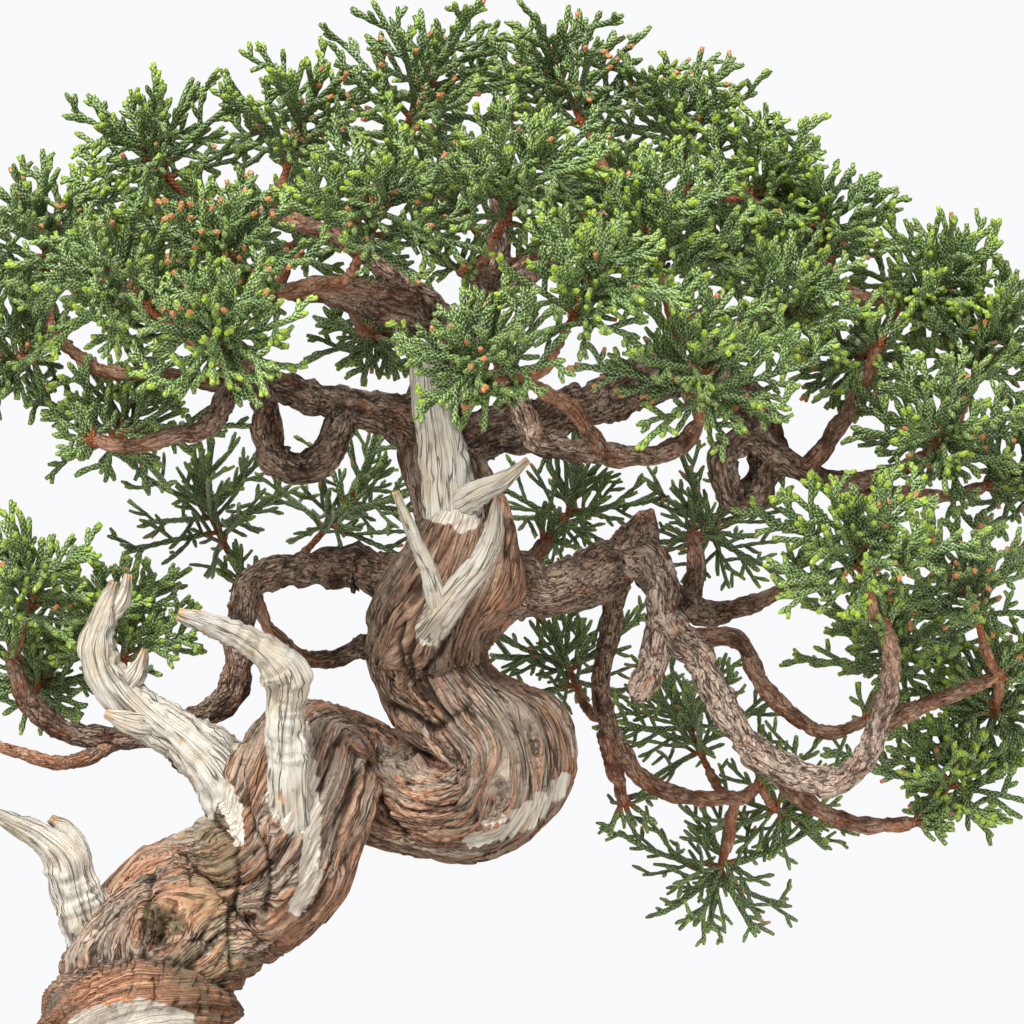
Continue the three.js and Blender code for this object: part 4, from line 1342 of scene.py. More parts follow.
@dataclass(frozen=True)
class GritFinish(Finish):
    """Baked clay granules and grit, each grain in a tone of its own."""

    tan: Colour = paint(166, 124, 84)
    brown: Colour = paint(112, 80, 58)
    pumice: Colour = paint(204, 192, 168)
    lava: Colour = paint(64, 54, 50)

    name = "grit"
    stored = ("tone",)
    waves = {"fine": Waves(1300, 3, 0.6)}
    depth = 0.0004
    rough = 0.9

    def material(self) -> Material:
        """Makes the material, which reads each grain's stored tone.

        Returns:
            The material.
        """
        surface, v = self.begin()
        colour = surface.graph.ramp(
            v["tone"] + (v["fine"] - 0.5) * 0.25, (0.0, self.lava), (0.16, self.brown),
            (0.45, self.tan), (0.78, self.brown), (0.9, self.pumice),
        )
        colour = surface.graph.scaled(colour, v["fine"] * 0.9 + 0.5)
        return surface.close(colour, self.rough, v["fine"], self.depth)


@dataclass(frozen=True)
class StudioFinish(Finish):
    """The pale matte floor, slightly uneven in tone."""

    pale: Colour = paint(236, 235, 232)

    name = "studio_floor"
    waves = {"broad": Waves(6, 2, 0.5)}
    rough = 0.8

    def material(self) -> Material:
        """Makes the material.

        Returns:
            The material.
        """
        surface, v = self.begin()
        colour = surface.graph.scaled(self.pale, v["broad"] * 0.04 + 0.97)
        return surface.close(colour, self.rough)


# Geometry Nodes trees


@dataclass
class GrowthTree:
    """A Geometry Nodes tree with named inputs, ending in Realize Instances and Set Material."""

    name: str
    graph: Graph = field(init=False)
    sockets: Dict[str, Socket] = field(init=False)
    keys: Dict[str, str] = field(init=False)

    def __post_init__(self) -> None:
        """Makes the empty tree with its geometry sockets."""
        tree = bpy.data.node_groups.new(self.name, "GeometryNodeTree")
        tree.interface.new_socket("Geometry", in_out="INPUT", socket_type="NodeSocketGeometry")
        tree.interface.new_socket("Geometry", in_out="OUTPUT", socket_type="NodeSocketGeometry")
        self.graph = Graph(tree)
        self.sockets, self.keys = {}, {}

    def open(self, sizes: Dict[str, float]) -> Socket:
        """Adds the named inputs.

        Args:
            sizes: each input's name and usual value. A whole number makes a count.

        Returns:
            The incoming geometry.
        """
        face = self.graph.tree.interface
        for name, value in sizes.items():
            kind = "NodeSocketInt" if isinstance(value, int) else "NodeSocketFloat"
            made = face.new_socket(name, in_out="INPUT", socket_type=kind)
            made.default_value = value
            self.keys[name] = made.identifier
        made = face.new_socket("Material", in_out="INPUT", socket_type="NodeSocketMaterial")
        self.keys["Material"] = made.identifier
        entry = self.graph.tree.nodes.new("NodeGroupInput")
        self.sockets = {socket.name: socket for socket in entry.outputs}
        return self.sockets["Geometry"]

    def size(self, name: str) -> Value:
        """Gives a named input as a number."""
        return Value(self.graph, self.sockets[name])

    def read(self, name: str, kind: str = "FLOAT") -> Socket:
        """Reads a stored attribute."""
        return self.graph.out("GeometryNodeInputNamedAttribute", {"data_type": kind}, {0: name})

    def number(self, name: str) -> Value:
        """Reads a stored number."""
        return Value(self.graph, self.read(name))

    def store(
        self, geometry: Socket, name: str, value: object, kind: str = "FLOAT",
        domain: str = "POINT",
    ) -> Socket:
        """Stores a number or a vector on the points or instances of a geometry."""
        settings, inputs = {"data_type": kind, "domain": domain}, {0: geometry, 2: name, 3: value}
        return self.graph.out("GeometryNodeStoreNamedAttribute", settings, inputs)

    def tube(self, curve: Socket, sides: object, radius: Value) -> Socket:
        """Wraps curves in a round skin.

        Args:
            curve: the curves.
            sides: the number of points round them.
            radius: their radius in metres.

        Returns:
            The closed skin, which stores each point's place in its section as "round".
        """
        g = self.graph
        inputs = {"Resolution": sides, "Radius": 1.0}
        section = g.out("GeometryNodeCurvePrimitiveCircle", None, inputs)
        place = g.out("GeometryNodeInputPosition")
        section = self.store(section, "round", place, "FLOAT_VECTOR")
        inputs = {"Curve": curve, "Profile Curve": section, "Scale": radius, "Fill Caps": True}
        return g.out("GeometryNodeCurveToMesh", None, inputs)

    def draw(self, kind: str, low: object, high: object, seed: int) -> Socket:
        """Draws a random number or vector for each point.

        Args:
            kind: the data type.
            low: the smallest value.
            high: the largest value.
            seed: the number that the draw starts from.

        Returns:
            The drawn value.
        """
        first, last, out = {"FLOAT": (2, 3, 1), "FLOAT_VECTOR": (0, 1, 0)}[kind]
        inputs = {first: low, last: high, "Seed": seed}
        return self.graph.node("FunctionNodeRandomValue", {"data_type": kind}, inputs).outputs[out]

    def close(self, geometry: Socket, smooth: bool = True) -> None:
        """Ends the tree.

        Args:
            geometry: the finished geometry.
            smooth: whether its faces are shaded smooth.
        """
        g = self.graph
        inputs = {"Geometry": g.out("GeometryNodeRealizeInstances", None, {"Geometry": geometry})}
        shaded = g.out("GeometryNodeSetShadeSmooth", None, {**inputs, "Shade Smooth": smooth})
        inputs = {"Geometry": shaded, "Material": self.sockets["Material"]}
        g.node("NodeGroupOutput", None, {0: g.out("GeometryNodeSetMaterial", None, inputs)})

    def grow(self, piece: Piece, material: Material, sizes: Dict[str, float]) -> Piece:
        """Runs the tree on a piece and keeps the result as its mesh.

        Args:
            piece: the object whose mesh the tree starts from.
            material: the material that it gets.
            sizes: values of named inputs that differ from the usual ones.

        Returns:
            The piece.
        """
        modifier = piece.modifiers.new(self.name, "NODES")
        modifier.node_group = self.graph.tree
        modifier[self.keys["Material"]] = material
        for name, value in sizes.items():
            modifier[self.keys[name]] = value
        return bake_modifiers(piece)


@dataclass(frozen=True)
class LimbRelief:
    """How a limb's bark stands out."""

    grain: Waves = Waves((1.2, 1.2, 0.6), 2, 0.6)
    lumps: Waves = Waves((0.3, 0.3, 0.2), 2, 0.6)
    sway: Waves = Waves((0.9, 0.9, 0.9), 1, 0.5)  # bends a young limb's rings
    flakes: Row = (0.7, 0.7, 0.3)  # flakes in a flake's size, along x, y, z
    layers: int = 9
    splits: Row = (0.9, 0.9, 0.25)  # cracks in a flake's size, along x, y, z
    split_width: float = 0.06
    seed_shift: float = 300.0

    def tree(self) -> GrowthTree:
        """Makes the tree that wraps lines in bark.

        The lines carry their radius, the distance along them, a seed and how young they are. Old
        limbs get flakes that split along the grain, and young ones rings of dry scale bases.

        Returns:
            The tree.
        """
        growth = GrowthTree("limb_bark")
        g = growth.graph
        lines = growth.open({"Sides": 20, "Flake": 2.0, "Relief": 0.8, "Ring Pitch": 1.45,
                             "Ring Relief": 0.95})
        radius, run = growth.number("thick"), growth.number("run")
        seed, young = growth.number("seed"), growth.number("young")
        curve = g.out("GeometryNodeMeshToCurve", None, {"Mesh": lines})
        skin = growth.tube(curve, growth.size("Sides"), radius * MM)
        wide = g.scaled(growth.read("round", "FLOAT_VECTOR"), radius)
        long = g.out("ShaderNodeCombineXYZ", None, {2: run + seed * self.seed_shift})
        fibre = g.vector_math("ADD", wide, long)
        place = g.scaled(fibre, 1 / growth.size("Flake"))
        edge, _ = g.flakes(place, self.flakes, self.layers)
        split = g.seam(place, self.splits, self.split_width, 1)
        grain, lumps, sway = (g.noise(fibre, w) for w in (self.grain, self.lumps, self.sway))
        flakes = (1 - split) * 0.5 + edge * 0.4 + grain * 0.4 + lumps * 2.4 - 1.2
        half = growth.size("Ring Pitch") * 0.5
        rings = g.math("PINGPONG", run + sway * 0.9, half) / half
        scales = g.step(rings, 0.0, 0.5) * 0.7 + grain * 0.5
        relief = flakes * (1 - young) + (scales - 0.05) * young
        size = growth.size("Relief") * (1 - young) + growth.size("Ring Relief") * young
        thick = g.math("MINIMUM", radius * 0.34 + 0.15, 1.6)
        offset = g.scaled(g.out("GeometryNodeInputNormal"), (relief - 0.75) * size * thick * MM)
        skin = growth.store(skin, "fibre", fibre, "FLOAT_VECTOR")
        skin = growth.store(skin, "relief", relief)
        growth.close(g.out("GeometryNodeSetPosition", None, {"Geometry": skin, "Offset": offset}))
        return growth


@dataclass(frozen=True)
class ShootForm:
    """How a shoot's section goes from its foot to its tip."""

    corners: int = 4  # one for each row of leaves
    turn: float = math.pi / 4
    blunt: float = 0.28
    bud: Tuple[float, float] = (2.0, 0.8)  # where it swells, from its tip
    swelling: float = 0.14

    def tree(self) -> GrowthTree:
        """Makes the tree that clothes lines in scale leaves.

        The leaves sit in four rows that turn an eighth of a round at each step, so each corner of
        the section is the back of one leaf. The lines carry their radius, tip distance and age.

        Returns:
            The tree.
        """
        growth = GrowthTree("scale_shoots")
        g = growth.graph
        lines = growth.open({"Scale Pitch": 1.1, "Tip Length": 0.75})
        curve = g.out("GeometryNodeMeshToCurve", None, {"Mesh": lines})
        inputs = {"Curve": curve, "Length": growth.size("Scale Pitch") * MM}
        curve = g.out("GeometryNodeResampleCurve", {"mode": "LENGTH"}, inputs)
        index = Value(g, g.out("GeometryNodeInputIndex"))
        inputs = {"Curve": curve, "Tilt": index * self.turn}
        curve = growth.store(g.out("GeometryNodeSetCurveTilt", None, inputs), "step", index)
        tip = growth.number("tip")
        end = g.math("MINIMUM", (tip + self.blunt) / growth.size("Tip Length"), 1.0) ** 0.5
        end = end * (g.step(tip, *self.bud) * self.swelling + 1)
        skin = growth.tube(curve, self.corners, growth.number("radius") * end * MM)
        method = {"quad_method": "SHORTEST_DIAGONAL"}
        skin = g.out("GeometryNodeTriangulate", method, {"Mesh": skin})
        long = g.out("ShaderNodeCombineXYZ", None, {2: growth.read("step")})
        lattice = g.vector_math("ADD", growth.read("round", "FLOAT_VECTOR"), long)
        growth.close(growth.store(skin, "lattice", lattice, "FLOAT_VECTOR"))
        return growth


@dataclass(frozen=True)
class GranuleForm:
    """How granules lie on the soil."""

    level: float = 0.6  # how far up a face must look
    density: float = 600000.0  # at most on a square metre
    flattest: Row = (0.75, 0.75, 0.6)  # the least of its size along x, y, z
    fullest: Row = (1.25, 1.25, 0.95)  # the most of it
    spin: float = 6.28  # a whole turn
    size_seed: int = 3

    def tree(self) -> GrowthTree:
        """Makes the tree that strews granules over the top of the soil.

        Returns:
            The tree.
        """
        growth = GrowthTree("granules")
        g, seed = growth.graph, self.size_seed
        ground = growth.open({"Spacing": 2.0, "Smallest": 0.8, "Largest": 1.7, "Seed": 7})
        normal = {0: g.out("GeometryNodeInputNormal")}
        up = g.node("ShaderNodeSeparateXYZ", None, normal).outputs[2]
        settings = {"data_type": "FLOAT", "operation": "GREATER_THAN"}
        top = g.out("FunctionNodeCompare", settings, {0: up, 1: self.level})
        inputs = {"Mesh": ground, "Selection": top, "Distance Min": growth.size("Spacing") * MM,
                  "Density Max": self.density, "Seed": growth.size("Seed")}
        settings = {"distribute_method": "POISSON"}
        points = g.out("GeometryNodeDistributePointsOnFaces", settings, inputs)
        grain = g.out("GeometryNodeMeshIcoSphere", None, {"Radius": 1.0, "Subdivisions": 1})
        smallest, largest = growth.size("Smallest") * MM, growth.size("Largest") * MM
        size = growth.draw("FLOAT", smallest, largest, seed)
        shape = growth.draw("FLOAT_VECTOR", self.flattest, self.fullest, seed + 1)
        turn = growth.draw("FLOAT_VECTOR", (0.0,) * 3, (self.spin,) * 3, seed + 2)
        inputs = {"Points": points, "Instance": grain, "Rotation": turn,
                  "Scale": g.scaled(shape, size)}
        strewn = g.out("GeometryNodeInstanceOnPoints", None, inputs)
        tone = growth.draw("FLOAT", 0.0, 1.0, seed + 3)
        strewn = growth.store(strewn, "tone", tone, domain="INSTANCE")
        whole = g.node("GeometryNodeJoinGeometry")
        for part in (ground, strewn):
            g.tree.links.new(part, whole.inputs[0])
        growth.close(whole.outputs[0], smooth=False)
        return growth


# Trunk


@dataclass(frozen=True)
class Knot:
    """A healed branch stub that the grain flows round, as it shows from the front."""

    x: float
    z: float
    size: float
    hollow: float = 1.0


@dataclass(frozen=True)
class Strip:
    """A strip of bared wood or of algae, along points as they show from the front."""

    points: Tuple[Tuple[float, float], ...]
    width: float

    def cover(self, x: Array, z: Array, wander: Array) -> Array:
        """Tells how much of each place the strip covers.

        Args:
            x: how far right each place shows.
            z: how high each place shows.
            wander: how much wider the strip is there, in millimetres.

        Returns:
            1 inside the strip, 0 outside it.
        """
        distance = np.full(x.shape, FAR)
        for (ax, az), (bx, bz) in zip(self.points, self.points[1:]):
            length = math.hypot(bx - ax, bz - az) ** 2
            share = np.clip(((x - ax) * (bx - ax) + (z - az) * (bz - az)) / length, 0, 1)
            distance = np.minimum(
                distance, np.hypot(x - ax - share * (bx - ax), z - az - share * (bz - az))
            )
        return 1 - soft_step(distance - wander, self.width - 0.3, self.width + 0.35)


@dataclass
class Trunk:
    """The trunk: fluted strands that wind round it, under fibrous bark."""

    sides: int = 208
    step: float = 0.8
    rows: int = 25  # a branch goes on from there
    twist: float = 0.017  # in radians a millimetre
    fold_twist: float = 0.15
    fold: Row = (27, 13.6, 0.018)  # the low fold's middle, height and sag
    wide: float = 15.0  # the radius on which the bark is laid out
    end: Tuple[float, float] = (0.25, 9.0)  # share of the radius left, over a length
    under: float = 16.0  # the part of its line that is left out below the soil
    flare: Row = (0.09, 0.85, 3.0, 7.5)  # narrowness, share of the root, full height, fade
    # The strands: how many, how deep, how fast they wind and where they start
    flutes: Tuple[Row, ...] = ((2, 0.07, 0.011, 0.4), (3, 0.05, 0.018, 1.9), (5, 0.03, 0.024, 0.8))
    # Where its outline stands out or in: x, z, size and by how much
    swells: Tuple[Row, ...] = ((101, 74.5, 7, -5.5), (104, 86, 6, 2.5), (36, 43, 7, -4.5))
    knots: Tuple[Knot, ...] = (
        Knot(82, 53.4, 2.6), Knot(32, 18.6, 4.4, 1.7), Knot(54.5, 43.5, 1.8, 0.5),
        Knot(56, 40, 1.5, 0.5), Knot(100, 44.5, 2.4, 0.6), Knot(74, 50, 1.6, 0.4),
        Knot(107, 56, 1.5, 0.9), Knot(49.8, 21, 2.4), Knot(78, 43, 1.5, 0.4),
    )
    bared: Tuple[Strip, ...] = (
        Strip(((18, 0), (28, 2.2), (36, 0)), 2.8),
        Strip(((43.5, 53), (46, 44), (47.4, 37)), 1.5),
        Strip(((60, 60), (62, 46), (62.6, 36), (61.4, 28), (59.5, 24)), 1.9),
        Strip(((64.5, 30), (59.5, 20), (53, 14.5)), 0.7),
        Strip(((93.5, 89), (89, 83), (85.5, 78)), 1.9),
        Strip(((94, 36.6), (103, 39.2), (109.5, 43), (113, 49)), 1.5),
        Strip(((97, 40.5), (104, 42.5), (109, 46)), 0.6),
    )
    algae: Tuple[Strip, ...] = (
        Strip(((42, 38), (41, 30), (46, 12)), 4.0),
        Strip(((37, 12), (40, 3)), 2.4),
        Strip(((31, 20), (33, 17)), 2.0),
    )
    # Grooves that are cut into the bark and painted dark there: painted shade, above all on the
    # upper trunk under the crown
    shaded_grooves: Tuple[Strip, ...] = (
        Strip(((81, 81), (79.2, 76), (81, 70), (87, 60.5)), 0.55),
        Strip(((84.4, 80), (81.5, 74), (82.5, 68), (90.3, 60.5)), 0.6),
        Strip(((91, 79), (84.4, 69.4), (87, 64)), 0.5),
        Strip(((78, 64), (86, 58.5), (93.5, 64)), 0.8),
        Strip(((74, 52.5), (73.4, 47.3), (70, 44.7), (76, 45.4), (78, 41.4), (80.5, 37.5)), 0.55),
        Strip(((48, 50.6), (49.3, 43.4), (53.2, 35.6), (54.2, 29), (53.2, 22.6)), 0.5),
        Strip(((41, 42.8), (47, 35.6), (47.7, 30.4), (46.4, 21.3), (46, 8.2)), 0.6),
        Strip(((30.5, 31), (29.8, 24.5), (29.5, 20)), 0.6),
        Strip(((37, 33.6), (38.3, 27.8)), 0.45),
    )
    loose: Tuple[int, float, float] = (3, 1.3, 26.0)  # seed, width, length of its waves
    bends: Tuple[float, float] = (0.26, 0.03)  # of the grain in long and short waves
    short: float = 4.5  # short waves in a long one
    drawn: float = 1.35  # how long a knot's surroundings are for their width
    wander: Streak = Streak(20, 3.0, 9.0)  # frays the strips' edges
    crease: Streak = Streak(5, 12.0, 90.0, 0.05)
    coarse: Streak = Streak(6, 3.0, 21.0, 0.11)
    mid: Streak = Streak(7, 1.7, 12.0, 0.15)
    fine: Streak = Streak(8, 0.8, 8.0, 0.3)
    cross: Streak = Streak(9, 3.4, 4.5, 0.06)
    crossing: Streak = Streak(10, 8.0, 20.0)  # tells where the cross cracks are
    layers: Tuple[Streak, float] = (Streak(16, 5.5, 34.0), 5.0)  # noise, and its steps
    lumps: Tuple[Tuple[Streak, float], ...] = (
        (Streak(11, 9.0, 16.0), 1.5), (Streak(12, 4.0, 9.0), 0.6),
    )
    ripples: Tuple[Tuple[Streak, float], ...] = (
        (Streak(13, 3.0, 20.0), 0.6), (Streak(14, 0.9, 7.0), 0.3),
    )

    def line(self) -> Line:
        """Gives the trunk's line, with its end drawn in to lie inside the branch that goes on.

        Returns:
            The line.
        """
        line = Line.of_rows(TRUNK[1 : self.rows], self.step)
        share, length = self.end
        left = line.run[-1] - line.run
        line.radius = line.radius * (share + (1 - share) * soft_step(left, 0, length))
        return line

    def strands(self, skin: Skin) -> Array:
        """Gives the fluted radius, with a flare over each surface root.

        Args:
            skin: the trunk's grid.

        Returns:
            The radius at each of its points.
        """
        run = skin.run + self.under
        shape = 1.0
        for count, depth, turn, start in self.flutes:
            shape = shape + depth * np.cos(count * (skin.angle - turn * run) + start)
        height = skin.line.at[:, None, 2] - SOIL_TOP
        narrow, amount, full, fade = self.flare
        flare = np.zeros_like(shape)
        for degrees, _, radius in ROOTS:
            out = np.array([math.cos(math.radians(degrees)), math.sin(math.radians(degrees)), 0])
            near = np.exp(-((1 - skin.outward() @ out) / narrow))
            flare += near * radius * amount * np.exp(-np.maximum(height - full, 0) / fade)
        radius = skin.line.radius[:, None] * shape + flare
        x, z = FRONT.shown(skin.points(radius))
        for at, high, size, amount in self.swells:
            radius = radius + amount * np.exp(-((x - at) ** 2 + (z - high) ** 2) / size**2)
        return radius

    def grain(self, skin: Skin, radius: Array) -> Tuple[Array, Array, Array]:
        """Lays the grain on the trunk and bends it round the knots.

        Args:
            skin: the trunk's grid.
            radius: its radius at each point.

        Returns:
            The grain's angle, how far a knot lifts the surface, and how much is a knot's eye.
        """
        x, z = FRONT.shown(skin.points(radius))
        facing = self.facing(skin)
        seed, wide, long = self.loose
        wave, loose = Texture3D(seed), Fibres(skin.angle, wide, skin.run / long).places
        angle = skin.angle - self.twist * skin.run + self.bends[0] * wave.at(loose)
        angle += self.bends[1] * wave.at(loose * self.short + 9.0)
        angle += self.fold_twist * np.clip(self.below_fold(x, z), 0, 26)
        lift, eyes = np.zeros_like(angle), np.zeros_like(angle)
        for knot in self.knots:
            far = np.where(facing > 0.1, np.hypot(x - knot.x, z - knot.z), FAR)
            i, j = np.unravel_index(np.argmin(far), far.shape)
            off = np.angle(np.exp(1j * (skin.angle - skin.angle[i, j])))
            aside = off * skin.line.radius[:, None]
            ahead = (skin.run - skin.run[i, j]) / self.drawn
            away = np.hypot(aside, ahead)
            bent = away * bump(away, knot.size * 1.3)
            bent -= aside * knot.size**2 / np.maximum(away, knot.size) ** 2
            angle = angle + bump(away, knot.size * 2.8) * bent / skin.line.radius[:, None]
            rim, hole = bump(away - knot.size, knot.size * 0.4), bump(away, knot.size * 0.55)
            lift += (0.36 * rim - 0.62 * hole * knot.hollow) * knot.size
            inner = soft_step(away, knot.size * 1.05, knot.size * 0.7)
            eyes = np.maximum(eyes, inner * min(knot.hollow, 1.0))
        return angle, lift, eyes

    def facing(self, skin: Skin) -> Array:
        """Tells how far the trunk's surface faces the viewer, 1 when it does and -1 at the rear."""
        return -skin.outward()[..., 1]

    def mask(self, strips: Sequence[Strip], skin: Skin, shown: Tuple, wander: object) -> Array:
        """Gives 1 on the front inside a strip that is wider by wander, and 0 elsewhere."""
        front = soft_step(self.facing(skin), -0.05, 0.3)
        return np.max([strip.cover(*shown, wander) for strip in strips], axis=0) * front

    def below_fold(self, x: Array, z: Array) -> Array:
        """Tells how far below the low fold places lie, which sags to both sides."""
        middle, height, sag = self.fold
        return height - sag * (x - middle) ** 2 - z

    def around_jins(self, places: Array, wander: Array) -> Array:
        """Tells how bare the trunk is where the deadwood leaves it.

        Args:
            places: the trunk's points.
            wander: how much wider the bare wood is there.

        Returns:
            1 beside a jin, 0 away from it.
        """
        nearest = np.full(places.shape[:-1], FAR)
        for _, prongs in DEADWOOD.values():
            line = Line.of_rows(prongs[0], 2.0)
            for at, radius in zip(line.at, line.radius):
                nearest = np.minimum(nearest, np.linalg.norm(places - at, axis=-1) - radius)
        return 1 - soft_step(nearest - wander * 0.5, -0.6, 0.5)

    def build(self, finish: BarkFinish) -> Piece:
        """Builds the trunk.

        Args:
            finish: its bark.

        Returns:
            The trunk, set on the part.
        """
        skin = Skin(self.line(), self.sides)
        radius = self.strands(skin)
        angle, lift, eyes = self.grain(skin, radius)
        x, z = FRONT.shown(skin.points(radius))
        fibres = Fibres(angle, self.wide, skin.run)
        wander = 1.3 * fibres.read(self.wander)
        pale, algae, cut = (
            self.mask(strips, skin, (x, z), wander * ragged)
            for strips, ragged in ((self.bared, 0.2), (self.algae, 3), (self.shaded_grooves, 0.3))
        )
        pale = np.maximum(pale, self.around_jins(skin.points(radius), wander))
        bark, below = 1 - 0.72 * pale, self.below_fold(x, z)
        crease, fold = bump(fibres.read(self.crease), self.crease.width), bump(below, 1.1)
        coarse, mid, fine, cross = (
            fibres.split(streak) for streak in (self.coarse, self.mid, self.fine, self.cross)
        )
        crossing = soft_step(fibres.read(self.crossing), -0.05, 0.2)
        cross = cross * crossing * soft_step(below, 1.0, -1.0)
        layers = (fibres.read(self.layers[0]) + 0.7) * self.layers[1]
        steps = layers - np.floor(layers)
        lumps, ripples = (
            sum(fibres.read(streak) * amount for streak, amount in group)
            for group in (self.lumps, self.ripples)
        )
        height = lumps - crease * 1.8 - fold * 1.5 + bump(below - 6, 5) * 1.3
        height -= bark * (coarse * 0.95 + mid * 0.55 + fine * 0.2 + cross * 0.5)
        height -= (1 - bark) * (mid * 0.5 + fine * 0.25)
        height += bark * (steps * 0.55 + ripples)
        lip = soft_step(pale, 0.02, 0.3) * soft_step(pale, 0.95, 0.5)
        height += lip * 0.55 - soft_step(pale, 0.3, 0.9) * 0.6 - cut * 1.3
        # The relief is low in the cracks, the long creases, the low fold and the shaded grooves,
        # and the bark paints it darker there: painted shade in these recesses
        relief = 1 - np.clip(coarse * 0.8 + mid * 0.55 + fine * 0.2 + cross * 0.6, 0, 1) * bark
        relief = np.clip(relief - crease * 0.5 - fold * 0.6 + 0.3 * (steps - 0.5) * bark, 0, 1)
        values = {
            "fibre": fibres.places, "relief": relief * (1 - 0.9 * cut), "pale": pale,
            "algae": algae, "eye": eyes, "warm": soft_step(below, 0.3, 3.0),
            # painted shade of the crown, on the upper trunk's left side
            "dull": soft_step(z + wander, 58, 70) * soft_step(x, 99, 89),
        }
        size = (skin.line.radius[:, None] / self.wide) ** 0.7
        points, faces, values = skin.closed(radius + height * size + lift * size, values)
        piece = shade_smooth(add_object("trunk", points, faces, values))
        return finish_piece(piece, ["trunk_and_branches"], finish.material())


# Branches, twigs and roots


